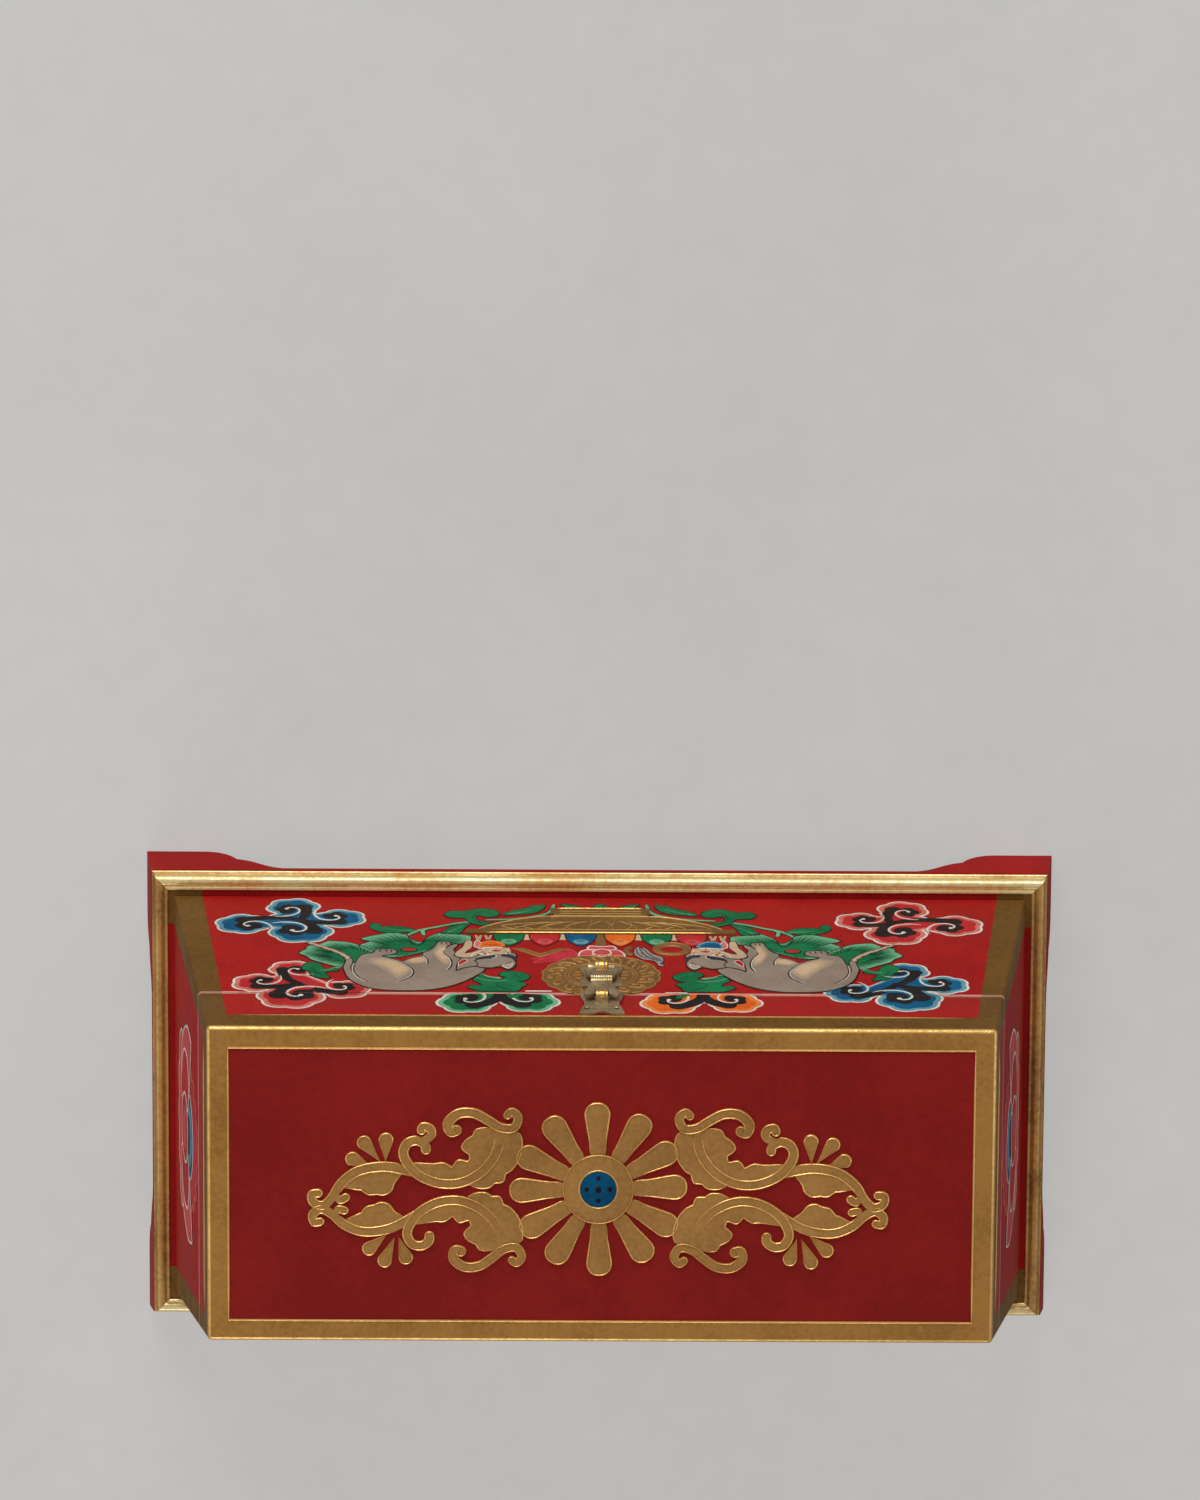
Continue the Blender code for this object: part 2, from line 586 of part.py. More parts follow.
def build_clasp(wall, rim):
    """The two butterfly plates with their curls, and the hasp, pinned in the body's curl."""
    lid_plate = build_clasp_plate("clasp_lid_plate", LID_CLASP_SEAT, LID_PLATE_RISE, 1, rim)
    catch_middle = SEAT_GAP + PLATE_THICKNESS + 0.8 * CATCH_RADIUS
    catch = curl_outline(CATCH_RADIUS, catch_middle, CATCH_TURN)
    build_curl(lid_plate, "catch", catch, LID_CLASP_SEAT, CATCH_RISE)
    as_part(lid_plate, BRASS)

    body_plate = build_clasp_plate("clasp_body_plate", CLASP_SEAT, -BODY_PLATE_DROP, -1, wall)
    knuckle = curl_outline(CLASP_KNUCKLE_RADIUS, HASP_PIN_PROUD, KNUCKLE_TURN, KNUCKLE_THICKNESS)
    build_curl(body_plate, "knuckle", knuckle, CLASP_SEAT, -HASP_PIN_DROP)
    as_part(body_plate, BRASS)

    hasp = flat_shape("clasp_hasp", hasp_outline(), HASP_THICKNESS, smooth=True)
    place(hasp, rotation=(math.pi / 2, 0, 0), parent=HASP_AXIS)
    barrel_from = CURL_WIDTH / 2 + FORK_GAP
    barrel_to = HASP_LOBE_WIDTH / 2 - HASP_THICKNESS
    for label, sign in (("left", -1), ("right", 1)):
        ends = sorted((sign * barrel_from, sign * barrel_to))
        barrel = rod("hasp_barrel_" + label, HASP_BARREL_RADIUS, *ends)
        join(hasp, as_cutter(place(barrel, parent=HASP_AXIS)))
    for count, rise in enumerate(HASP_RIB_PLACES):
        half = HASP_WAIST_WIDTH / 2 + HASP_RIB_RADIUS / 4
        rib = rod(f"hasp_rib_{count}", HASP_RIB_RADIUS, -half, half, -HASP_THICKNESS / 2, rise)
        join(hasp, as_cutter(place(rib, parent=HASP_AXIS)))
    bore = rod("hasp_bore", CLASP_BORE_RADIUS, -barrel_to - SEAT_GAP, barrel_to + SEAT_GAP)
    cut(hasp, as_cutter(place(bore, parent=HASP_AXIS)))
    as_part(hasp, BRASS)
    as_part(place(rod("clasp_pin", HASP_PIN_RADIUS, -barrel_to, barrel_to), parent=HASP_AXIS), BRASS)


build_plinth()
build_base()
walls = build_body()
lid_rims = build_lid()
for hinge_side, hinge_sign in (("left", -1), ("right", 1)):
    build_hinge("hinge_" + hinge_side, hinge_sign * HINGE_SPACING / 2, walls["back"], lid_rims["back"])
build_clasp(walls["front"], lid_rims["front"])
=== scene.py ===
"""Looks of the painted keepsake box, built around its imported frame.

The case, its plinth and mouldings are dressed in red lacquer and aged gilding. The lid carries a gilt
rosette between acanthus scrolls, the front a bowl of jewels between two mongooses, and each end a lotus.
Lengths of the case are metres; ornament is drawn in millimetres on the face that carries it.
"""

import json
import logging
import math
from dataclasses import dataclass, field
from enum import Enum
from typing import Callable, Iterable, Optional, Sequence, Union

import bmesh
import bpy
from mathutils import Matrix, Vector


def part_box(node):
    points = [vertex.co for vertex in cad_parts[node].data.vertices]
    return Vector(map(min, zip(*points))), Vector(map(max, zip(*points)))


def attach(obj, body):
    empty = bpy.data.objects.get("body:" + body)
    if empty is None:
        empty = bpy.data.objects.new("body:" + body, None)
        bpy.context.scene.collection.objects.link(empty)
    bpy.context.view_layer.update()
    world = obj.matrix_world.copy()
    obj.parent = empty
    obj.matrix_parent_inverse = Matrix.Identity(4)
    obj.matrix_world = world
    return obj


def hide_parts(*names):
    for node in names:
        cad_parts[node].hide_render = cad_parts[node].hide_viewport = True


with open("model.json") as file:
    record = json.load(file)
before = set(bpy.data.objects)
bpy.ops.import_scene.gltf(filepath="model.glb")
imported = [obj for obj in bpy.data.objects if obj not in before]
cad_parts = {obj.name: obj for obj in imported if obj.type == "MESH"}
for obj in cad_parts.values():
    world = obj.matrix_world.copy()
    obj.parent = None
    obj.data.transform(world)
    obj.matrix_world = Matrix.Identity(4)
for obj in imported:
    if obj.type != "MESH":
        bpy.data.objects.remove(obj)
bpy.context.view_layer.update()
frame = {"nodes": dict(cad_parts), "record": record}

LOG = logging.getLogger("keepsake_box")
MM = 0.001

NEAR = 1e-6
NODE_WELD = 4e-6
NODE_FLAT = math.radians(2)
NODE_CREASE = math.radians(38)

Mesh = bmesh.types.BMesh
NodeTree = bpy.types.NodeTree
Socket = bpy.types.NodeSocket
Sockets = dict[str, Socket]
Point = Sequence[float]
Path = Sequence[Point]
Line = Sequence[Vector]
Triple = tuple[float, float, float]
Colour = tuple[float, float, float, float]
Feed = Union[float, Sequence[float], Socket]


class Body(Enum):
    """The bodies of the frame that a piece can ride on."""

    CARCASS = "carcass"
    LID = "lid"
    HASP = "hasp"


class Slot(Enum):
    """The record's material slots."""

    LACQUER = "red_lacquer"
    GILDING = "gilding"
    WOOD = "bare_wood"
    BRASS = "brass"


class Side(Enum):
    """The faces of the case that carry ornament."""

    FRONT = "front"
    RIGHT = "right"
    BACK = "back"
    LEFT = "left"
    TOP = "top"

    @property
    def long(self) -> bool:
        """Whether it is one of the two long faces."""
        return self in (Side.FRONT, Side.BACK)


AROUND = (Side.FRONT, Side.RIGHT, Side.BACK, Side.LEFT)


def around(prefix: str) -> list[str]:
    """Names of the four boards of one kind, in order round the case."""
    return [prefix + side.value for side in AROUND]


def srgb(*channels: int) -> Colour:
    """Turn a display colour into the linear one that shaders take.

    Args:
        *channels: Red, green and blue from 0 to 255.

    Returns:
        The linear colour with full alpha.
    """
    shares = (value / 255 for value in channels)
    linear = (share / 12.92 if share <= 0.04045 else ((share + 0.055) / 1.055) ** 2.4 for share in shares)
    return (*linear, 1.0)


# Lines and small meshes

RIDGE_TURNS = tuple(math.radians(angle) for angle in (0, 50, 90, 130, 180))
RIDGE_WELD = 0.004
SCALLOP_STEPS = 9


def flowing(points: Path, closed: bool = True, steps: int = 6) -> list[Vector]:
    """Draw a smooth line through points.

    Args:
        points: Places to pass through; a third value marks a corner.
        closed: Whether the line returns to its start.
        steps: Stretches between two places.

    Returns:
        The points of the line.
    """
    knots: list[Vector] = []
    for x, y, *corner in points:
        knots += [Vector((x, y))] * (2 if corner else 1)
    count = len(knots)
    line: list[Vector] = []
    for start in range(count if closed else count - 1):
        here, there = knots[start], knots[(start + 1) % count]
        if (there - here).length < NEAR:
            continue
        before = knots[start - 1] if closed or start > 0 else here
        after = knots[(start + 2) % count] if closed or start + 2 < count else there
        for step in range(steps):
            t = step / steps
            bend = 2 * before - 5 * here + 4 * there - after
            twist = 3 * here - before - 3 * there + after
            line.append(here + 0.5 * ((there - before) * t + bend * t * t + twist * t ** 3))
    if not closed:
        line.append(knots[-1])
    return line


def ellipse(centre: Point, radii: Point, count: int = 32) -> list[Vector]:
    """Points round an ellipse whose axes lie level and upright."""
    middle, size = Vector(centre[:2]), Vector(radii)
    return [middle + size * heading(math.tau * step / count) for step in range(count)]


def heading(angle: float) -> Vector:
    """Unit step in a direction, in radians from level."""
    return Vector((math.cos(angle), math.sin(angle)))


def scalloped(centre: Point, radius: float, scallops: int, depth: float, turn: float = 0.0) -> list[Vector]:
    """Draw a round outline with a scalloped edge.

    Args:
        centre: Middle of the outline.
        radius: Out to the crests.
        scallops: How many crests there are.
        depth: How far the hollows lie inside the crests.
        turn: Where the first hollow lies, in radians.

    Returns:
        The points of the outline.
    """
    line = []
    count = SCALLOP_STEPS * scallops
    for step in range(count):
        angle = turn + math.tau * step / count
        reach = radius - depth * (1 - abs(math.sin(scallops * (angle - turn) / 2)))
        line.append(Vector(centre[:2]) + reach * heading(angle))
    return line


def spiral(centre: Point, radius: float, start: float, turn: float, tightness: float = 0.45,
           steps: int = 28) -> list[Vector]:
    """Draw a curl that winds in to its middle, tighter and tighter.

    Args:
        centre: Middle of the curl.
        radius: Where the curl starts.
        start: Direction of its start, in radians.
        turn: How far it winds, in radians, to the left if above zero.
        tightness: How fast it closes.
        steps: Stretches along it.

    Returns:
        The points of the curl, from the outside in.
    """
    line = []
    for step in range(steps + 1):
        wound = turn * step / steps
        reach = radius * math.exp(-tightness * abs(wound))
        line.append(Vector(centre[:2]) + reach * heading(start + wound))
    return line


def sweep(chains: Sequence[Line], ring: bool, weld: float) -> Mesh:
    """Stretch a grid over a chain of points at each of a row of places, from the last to the first again.

    Args:
        chains: The chain at each place, all with as many points.
        ring: Whether each chain is closed.
        weld: Points closer than this are merged.

    Returns:
        A new bmesh with its faces turned outwards.
    """
    rows = [[*chain, chain[0]] if ring else chain for chain in [*chains, chains[0]]]
    bm = bmesh.new()
    bmesh.ops.create_grid(bm, x_segments=len(rows[0]) - 1, y_segments=len(rows) - 1, size=1)
    for vert, point in zip(bm.verts, (point for row in rows for point in row)):
        vert.co = point
    bmesh.ops.remove_doubles(bm, verts=bm.verts, dist=weld)
    bmesh.ops.recalc_face_normals(bm, faces=bm.faces)
    return bm


def rounded(bm: Mesh, edges: Sequence[bmesh.types.BMEdge], width: float, segments: int = 2,
            clamp: bool = False) -> None:
    """Round edges over.

    Args:
        bm: The mesh.
        edges: Its edges.
        width: Width of the rounding.
        segments: Faces across it.
        clamp: Whether it stops where two roundings would cross.
    """
    bmesh.ops.bevel(bm, geom=edges, offset=width, offset_type="OFFSET", affect="EDGES", segments=segments,
                    profile=0.5, material=-1, clamp_overlap=clamp)


def raised_panel(outline: Line, base: float, height: float, soften: float) -> Mesh:
    """Raise a flat outline into a low panel.

    Args:
        outline: Points round the panel.
        base: Level of its underside.
        height: Its thickness.
        soften: Rounding of its upper edge.

    Returns:
        A new bmesh of the closed panel.
    """
    bm = bmesh.new()
    sheet = bm.faces.new([bm.verts.new((point.x, point.y, base)) for point in outline])
    grown = bmesh.ops.extrude_face_region(bm, geom=[sheet])["geom"]
    upper = {item for item in grown if isinstance(item, bmesh.types.BMVert)}
    bmesh.ops.translate(bm, vec=(0, 0, height), verts=list(upper))
    bmesh.ops.recalc_face_normals(bm, faces=bm.faces)
    if soften:
        rounded(bm, [edge for edge in bm.edges if upper.issuperset(edge.verts)], soften)
    return bm


def ribbon(line: Line, wide: float, tip: float, ease: float = 1.0) -> tuple[list[Vector], list[Vector]]:
    """Draw both edges of a band along a line.

    Args:
        line: Its middle line.
        wide: Half its width at its start.
        tip: Half its width at its end.
        ease: How its width changes: evenly at 1, at its start the faster the lower.

    Returns:
        The points of its left edge and of its right edge.
    """
    last = len(line) - 1
    left, right = [], []
    for place, point in enumerate(line):
        along = (line[min(place + 1, last)] - line[max(place - 1, 0)]).normalized()
        aside = along.orthogonal() * (wide + (tip - wide) * (place / last) ** ease)
        left.append(point + aside)
        right.append(point - aside)
    return left, right


def raised_ridge(line: Line, widths: Sequence[float], base: float, height: float, closed: bool) -> Mesh:
    """Raise a rounded ridge along a line.

    Args:
        line: Points along the middle of the ridge.
        widths: Half its width at each point.
        base: Level of its underside.
        height: Height at full width.
        closed: Whether the line returns to its start.

    Returns:
        A new bmesh of the closed ridge.
    """
    count = len(line)
    full = max(widths)
    chains: list[list[Vector]] = []
    for angle in RIDGE_TURNS:
        across, up = math.cos(angle), math.sin(angle)
        chain = []
        for place, point in enumerate(line):
            before = line[place - 1] if closed or place else point
            after = line[(place + 1) % count] if closed or place + 1 < count else point
            aside = (after - before).normalized().orthogonal() * across * widths[place]
            lift = base + up * height * widths[place] / full
            chain.append(Vector((*(point + aside), lift)))
        chains.append(chain)
    return sweep(chains, closed, RIDGE_WELD)


# Shader nodes


@dataclass
class Tree:
    """Adds nodes to one node tree and links them."""

    tree: NodeTree

    def feed(self, socket: Socket, value: Feed) -> None:
        """Link a socket, or set its own value.

        Args:
            socket: The input.
            value: The output to link it to, or its value.
        """
        if isinstance(value, Socket):
            self.tree.links.new(value, socket)
        else:
            socket.default_value = value

    def add(self, kind: str, feeds: dict[Union[str, int], Feed], **settings: object) -> bpy.types.Node:
        """Add a node.

        Args:
            kind: Blender's name for the node type.
            feeds: What goes into each input.
            **settings: The node's own properties.

        Returns:
            The new node.
        """
        node = self.tree.nodes.new(kind)
        for name, value in settings.items():
            setattr(node, name, value)
        for name, value in feeds.items():
            self.feed(node.inputs[name], value)
        return node

    def sum(self, operation: str, first: Feed, second: Feed = 0.0) -> Socket:
        """One step of arithmetic."""
        return self.add("ShaderNodeMath", {0: first, 1: second}, operation=operation).outputs[0]

    def fade(self, value: Feed, start: float, end: float) -> Socket:
        """A mask that rises smoothly from 0 at start to 1 at end."""
        feeds = {"Value": value, "From Min": start, "From Max": end}
        return self.add("ShaderNodeMapRange", feeds, interpolation_type="SMOOTHSTEP").outputs[0]

    def blend(self, share: Feed, first: Feed, second: Feed) -> Socket:
        """Mix two colours."""
        return self.add("ShaderNodeMix", {0: share, 6: first, 7: second}, data_type="RGBA").outputs[2]

    def weigh(self, share: Feed, first: Feed, second: Feed) -> Socket:
        """Mix two numbers."""
        return self.add("ShaderNodeMix", {0: share, 2: first, 3: second}, data_type="FLOAT").outputs[0]

    def noise(self, vector: Feed, scale: Feed, detail: float = 3.0, roughness: float = 0.55,
              stretch: Optional[Sequence[float]] = None) -> Socket:
        """Add a noise pattern.

        Args:
            vector: Coordinates to read.
            scale: Size of the pattern.
            detail: Number of octaves.
            roughness: Weight of the finer octaves.
            stretch: Scale along each axis, where it differs.

        Returns:
            The pattern's value socket.
        """
        if stretch:
            vector = self.add("ShaderNodeMapping", {"Vector": vector, "Scale": stretch}).outputs[0]
        feeds = {"Vector": vector, "Scale": scale, "Detail": detail, "Roughness": roughness}
        return self.add("ShaderNodeTexNoise", feeds).outputs[0]


def shared_group(name: str, inputs: dict[str, str], outputs: dict[str, str],
                 fill: Callable[[Tree, Sockets], Sockets]) -> NodeTree:
    """Build a shader node group once.

    Args:
        name: The group's name.
        inputs: Its input names and socket types.
        outputs: Its output names and socket types.
        fill: Adds the nodes between the two and gives what goes to each output.

    Returns:
        The group, new or as it was made before.
    """
    known = bpy.data.node_groups.get(name)
    if known:
        return known
    group = bpy.data.node_groups.new(name, "ShaderNodeTree")
    for direction, sockets in (("INPUT", inputs), ("OUTPUT", outputs)):
        for label, kind in sockets.items():
            group.interface.new_socket(label, in_out=direction, socket_type="NodeSocket" + kind)
    tree = Tree(group)
    given = {socket.name: socket for socket in tree.add("NodeGroupInput", {}).outputs}
    tree.add("NodeGroupOutput", fill(tree, given))
    return group


def mottle_group() -> NodeTree:
    """Two tones of one colour, mottled broad and fine."""
    def fill(tree: Tree, given: Sockets) -> Sockets:
        """Mix a broad and a fine noise into the tone."""
        broad = tree.noise(given["Vector"], given["Scale"], 5.0, 0.6)
        fine = tree.noise(given["Vector"], tree.sum("MULTIPLY", given["Scale"], 11.0), 2.0, 0.6)
        tone = tree.fade(tree.weigh(0.35, broad, fine), 0.36, 0.64)
        return {"Color": tree.blend(tone, given["Dark"], given["Light"]), "Tone": tone}
    inputs = {"Vector": "Vector", "Light": "Color", "Dark": "Color", "Scale": "Float"}
    return shared_group("mottle", inputs, {"Color": "Color", "Tone": "Float"}, fill)


def ground_group() -> NodeTree:
    """Relief of the primed ground under the colour: fine cloth weave and brush marks."""
    def fill(tree: Tree, given: Sockets) -> Sockets:
        """Cross two fine bands and lay uneven brush marks over them."""
        feeds = {"Vector": given["Vector"], "Scale": 480.0, "Distortion": 2.0, "Detail": 1.0}
        threads = [tree.add("ShaderNodeTexWave", feeds, bands_direction=way).outputs[1] for way in "XZ"]
        weave = tree.sum("MULTIPLY", tree.sum("ADD", *threads), given["Weave"])
        return {"Height": tree.sum("ADD", weave, tree.noise(given["Vector"], 170.0, 4.0, 0.6))}
    inputs = {"Vector": "Vector", "Weave": "Float"}
    return shared_group("ground", inputs, {"Height": "Float"}, fill)


def tarnish_group() -> NodeTree:
    """Aged gilding: worn spots, darker patches and a broken sheen."""
    def fill(tree: Tree, given: Sockets) -> Sockets:
        """Spot the gold with its dark tone and rough it there."""
        cloud = tree.noise(given["Vector"], 34.0, 4.0, 0.6)
        speck = tree.noise(given["Vector"], 520.0, 3.0, 0.65)
        age = tree.fade(tree.weigh(0.45, cloud, speck), 0.38, 0.68)
        return {"Color": tree.blend(age, given["Light"], given["Dark"]),
                "Roughness": tree.sum("ADD", given["Rough"], tree.sum("MULTIPLY", age, 0.18)),
                "Height": tree.sum("ADD", speck, tree.noise(given["Vector"], 190.0, 2.0))}
    inputs = {"Vector": "Vector", "Light": "Color", "Dark": "Color", "Rough": "Float"}
    outputs = {"Color": "Color", "Roughness": "Float", "Height": "Float"}
    return shared_group("tarnish", inputs, outputs, fill)


def band_group() -> NodeTree:
    """Mask of the gilt bands along the arrises of the splayed case."""
    def fill(tree: Tree, given: Sockets) -> Sockets:
        """Measure each point's distance from the arrises and compare it with the bands."""
        place = tree.add("ShaderNodeSeparateXYZ", {0: given["Vector"]}).outputs
        drop = tree.sum("SUBTRACT", given["Top"], place[2])
        flare = tree.sum("MULTIPLY", drop, given["Splay"])
        inward = []
        for axis, half in ((0, "Half Width"), (1, "Half Depth")):
            reach = tree.sum("ADD", given[half], flare)
            inward.append(tree.sum("SUBTRACT", reach, tree.sum("ABSOLUTE", place[axis])))
        wander = tree.sum("SUBTRACT", tree.noise(given["Vector"], 55.0), 0.5)
        unsteady = tree.sum("MULTIPLY", wander, 0.0009)
        near = tree.sum("ADD", tree.sum("MINIMUM", *inward), unsteady)
        far = tree.sum("ADD", tree.sum("MAXIMUM", *inward), unsteady)
        stile = tree.sum("ADD", given["Stile"], tree.sum("MULTIPLY", drop, given["Stile Growth"]))
        upright = tree.sum("LESS_THAN", far, stile)
        on_top = tree.sum("LESS_THAN", drop, 0.0008)
        frame_band = tree.sum("LESS_THAN", near, given["Frame"])
        rail = tree.sum("LESS_THAN", tree.sum("ADD", drop, unsteady), given["Rail"])
        level = tree.weigh(on_top, rail, frame_band)
        return {"Gilt": tree.sum("MAXIMUM", upright, level), "Top": on_top}
    floats = ("Top", "Half Width", "Half Depth", "Splay", "Stile", "Stile Growth", "Frame", "Rail")
    inputs = {"Vector": "Vector", **{name: "Float" for name in floats}}
    return shared_group("gilt_bands", inputs, {"Gilt": "Float", "Top": "Float"}, fill)


class Surface(Tree):
    """A material under construction: its shader, its coordinates and its bump."""

    def __init__(self, name: str) -> None:
        """Start a material with a bare Principled shader."""
        self.material = bpy.data.materials.new(name)
        self.material.use_nodes = True
        super().__init__(self.material.node_tree)
        self.shader = self.tree.nodes["Principled BSDF"]
        self.place = self.add("ShaderNodeTexCoord", {}).outputs["Object"]

    def group(self, tree: NodeTree, feeds: dict[str, Feed]) -> bpy.types.bpy_prop_collection:
        """Place a shared group and give its outputs."""
        return self.add("ShaderNodeGroup", {"Vector": self.place, **feeds}, node_tree=tree).outputs

    def height(self) -> Socket:
        """Height of a point on the piece."""
        return self.add("ShaderNodeSeparateXYZ", {0: self.place}).outputs[2]

    def set(self, **values: Feed) -> None:
        """Feed the shader's inputs, named with underscores for spaces."""
        for name, value in values.items():
            self.feed(self.shader.inputs[name.replace("_", " ")], value)

    def bump(self, height: Socket, depth: float) -> None:
        """Turn a height into the shader's normal."""
        feeds = {"Height": height, "Distance": depth, "Strength": 1.0}
        self.feed(self.shader.inputs["Normal"], self.add("ShaderNodeBump", feeds).outputs[0])


# Finishes


@dataclass(frozen=True)
class Finish:
    """A finish in two tones that dresses one material, made once and shared."""

    name: str
    light: Colour
    dark: Colour

    def dress(self, surface: Surface) -> None:
        """Give the surface its colour, sheen and relief."""
        raise NotImplementedError

    def mottled(self, surface: Surface, scale: float) -> bpy.types.bpy_prop_collection:
        """The two tones mottled on a surface: their colour, and how light it is."""
        return surface.group(mottle_group(), {"Light": self.light, "Dark": self.dark, "Scale": scale})

    def material(self) -> bpy.types.Material:
        """Make the finish's material at its first use.

        Returns:
            The material, new or as it was made before.
        """
        known = bpy.data.materials.get(self.name)
        if known:
            return known
        surface = Surface(self.name)
        self.dress(surface)
        return surface.material


@dataclass(frozen=True)
class Paint(Finish):
    """Bodied paint laid on by brush, lighter where the brush lifted."""

    roughness: float = 0.5

    def dress(self, surface: Surface) -> None:
        """Mottle the two tones and leave brush marks."""
        tone = self.mottled(surface, 70.0)
        ground = surface.group(ground_group(), {"Weave": 0.12})
        surface.set(Base_Color=tone["Color"], Roughness=self.roughness, Specular_IOR_Level=0.1)
        surface.bump(ground["Height"], 0.00010)


def between(first: Paint, last: Paint, steps: int) -> tuple[Paint, ...]:
    """Paints in even steps from one tone to another.

    Args:
        first: The paint of the first step.
        last: The paint of the last step.
        steps: How many paints there are.

    Returns:
        The paints in order.
    """
    paints = []
    for step in range(steps):
        share = step / (steps - 1)
        light, dark = (tuple(a + (b - a) * share for a, b in zip(*tones))
                       for tones in ((first.light, last.light), (first.dark, last.dark)))
        paints.append(Paint(f"{first.name}_to_{last.name}_{step}", light, dark))
    return tuple(paints)


@dataclass(frozen=True)
class Gilding(Finish):
    """Gold over raised gesso, aged."""

    metal: float
    rough: float

    def dress(self, surface: Surface) -> None:
        """Spot the gold with age."""
        gold = surface.group(tarnish_group(), {"Light": self.light, "Dark": self.dark, "Rough": self.rough})
        surface.set(Base_Color=gold["Color"], Roughness=gold["Roughness"], Metallic=self.metal)
        surface.bump(gold["Height"], 0.00014)


@dataclass(frozen=True)
class Brass(Finish):
    """Cast brass, bright where hands rub it and brown in its stippling."""

    rough: float
    stipple: float
    metal: float = 1.0

    def dress(self, surface: Surface) -> None:
        """Mottle the metal and stipple it."""
        tone = self.mottled(surface, 120.0)
        rough = surface.weigh(tone["Tone"], self.rough + 0.16, self.rough)
        surface.set(Base_Color=tone["Color"], Roughness=rough, Metallic=self.metal)
        surface.bump(surface.noise(surface.place, 900.0, 2.0), self.stipple)


@dataclass(frozen=True)
class Timber(Finish):
    """Plain sawn softwood with its grain along one axis."""

    grain: Triple

    def dress(self, surface: Surface) -> None:
        """Draw rings and fibres along the grain."""
        rings = surface.noise(surface.place, 90.0, 3.0, 0.5, self.grain)
        fibre = surface.noise(surface.place, 640.0, 4.0, 0.6, self.grain)
        tone = surface.fade(surface.weigh(0.6, rings, fibre), 0.36, 0.66)
        surface.set(Base_Color=surface.blend(tone, self.light, self.dark),
                    Roughness=surface.weigh(tone, 0.6, 0.74))
        surface.bump(fibre, 0.00025)


@dataclass(frozen=True)
class CaseLacquer(Finish):
    """Red lacquer over primed wood, gilt bands, a rubbed joint line and painted shade on the lid's top."""

    worn: Colour
    gold: Gilding
    shade: Gilding
    bands: tuple[tuple[str, float], ...] = ()
    joint: float = -1.0
    gloss: float = 0.14
    # Tone and share of the painted shade that darkens the lid's top.
    top_shade_tone: Colour = srgb(90, 62, 56)
    top_shade_share: float = 0.16

    def dress(self, surface: Surface) -> None:
        """Lay the lacquer, gild the bands and rub the edge at the joint."""
        red = self.mottled(surface, 26.0)
        ground = surface.group(ground_group(), {"Weave": 0.2})
        off_joint = surface.sum("ABSOLUTE", surface.sum("SUBTRACT", surface.height(), self.joint))
        patches = surface.fade(surface.noise(surface.place, 130.0, 4.0), 0.22, 0.45)
        rub = surface.sum("MULTIPLY", surface.fade(off_joint, 0.0015, 0.0009), patches)
        colour = surface.blend(rub, red["Color"], self.worn)
        rough = surface.weigh(red["Tone"], 0.40, 0.50)
        surface.set(Specular_IOR_Level=self.gloss)
        if not self.bands:
            surface.set(Base_Color=colour, Roughness=rough)
            surface.bump(ground["Height"], 0.00010)
            return
        bands = surface.group(band_group(), dict(self.bands))
        gilt, top = bands["Gilt"], bands["Top"]
        # Painted shade: the lid's top is darkened towards a dark brown.
        colour = surface.blend(surface.sum("MULTIPLY", top, self.top_shade_share), colour, self.top_shade_tone)
        # Painted shade: gilt bands off the lid's top take the darker shaded gold, those on the top the
        # lighter gold.
        tones = {"Light": surface.blend(top, self.shade.light, self.gold.light), "Rough": self.gold.rough,
                 "Dark": surface.blend(top, self.shade.dark, self.gold.dark)}
        gold = surface.group(tarnish_group(), tones)
        left = surface.sum("SUBTRACT", gilt, surface.sum("MULTIPLY", rub, 0.6))
        surface.set(Base_Color=surface.blend(left, colour, gold["Color"]),
                    Roughness=surface.weigh(gilt, rough, gold["Roughness"]),
                    Metallic=surface.sum("MULTIPLY", gilt, self.gold.metal))
        surface.bump(surface.weigh(gilt, ground["Height"], gold["Height"]), 0.00012)


# Pieces of the case


def dressed(name: str, bm: Mesh, finishes: Sequence[Finish], body: Body, slot: Optional[Slot] = None,
            stands_for: Sequence[str] = (), smooth: float = 35.0) -> None:
    """Turn a finished bmesh into a piece that rides on a body.

    Args:
        name: Name of the piece.
        bm: Its mesh, in place in the frame, which is used up.
        finishes: Its finishes, in the order of its faces' material numbers.
        body: The body that carries it.
        slot: The record's slot for its finish; not used.
        stands_for: The frame's nodes that it replaces.
        smooth: Edges sharper than this many degrees stay crisp.
    """
    mesh = bpy.data.meshes.new(name)
    bm.to_mesh(mesh)
    bm.free()
    for finish in finishes:
        mesh.materials.append(finish.material())
    mesh.shade_smooth()
    mesh.set_sharp_from_angle(angle=math.radians(smooth))
    piece = bpy.data.objects.new(name, mesh)
    bpy.context.scene.collection.objects.link(piece)
    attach(piece, body.value)
    if stands_for:
        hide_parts(*stands_for)
    LOG.info("%s: %d faces on %s", name, len(mesh.polygons), body.value)


def absorb(bm: Mesh, other: Mesh) -> None:
    """Move the faces of one bmesh into another.

    Args:
        bm: The bmesh that takes them.
        other: The bmesh that gives them and is freed.
    """
    spare = bpy.data.meshes.new("spare")
    other.to_mesh(spare)
    other.free()
    bm.from_mesh(spare)
    bpy.data.meshes.remove(spare)


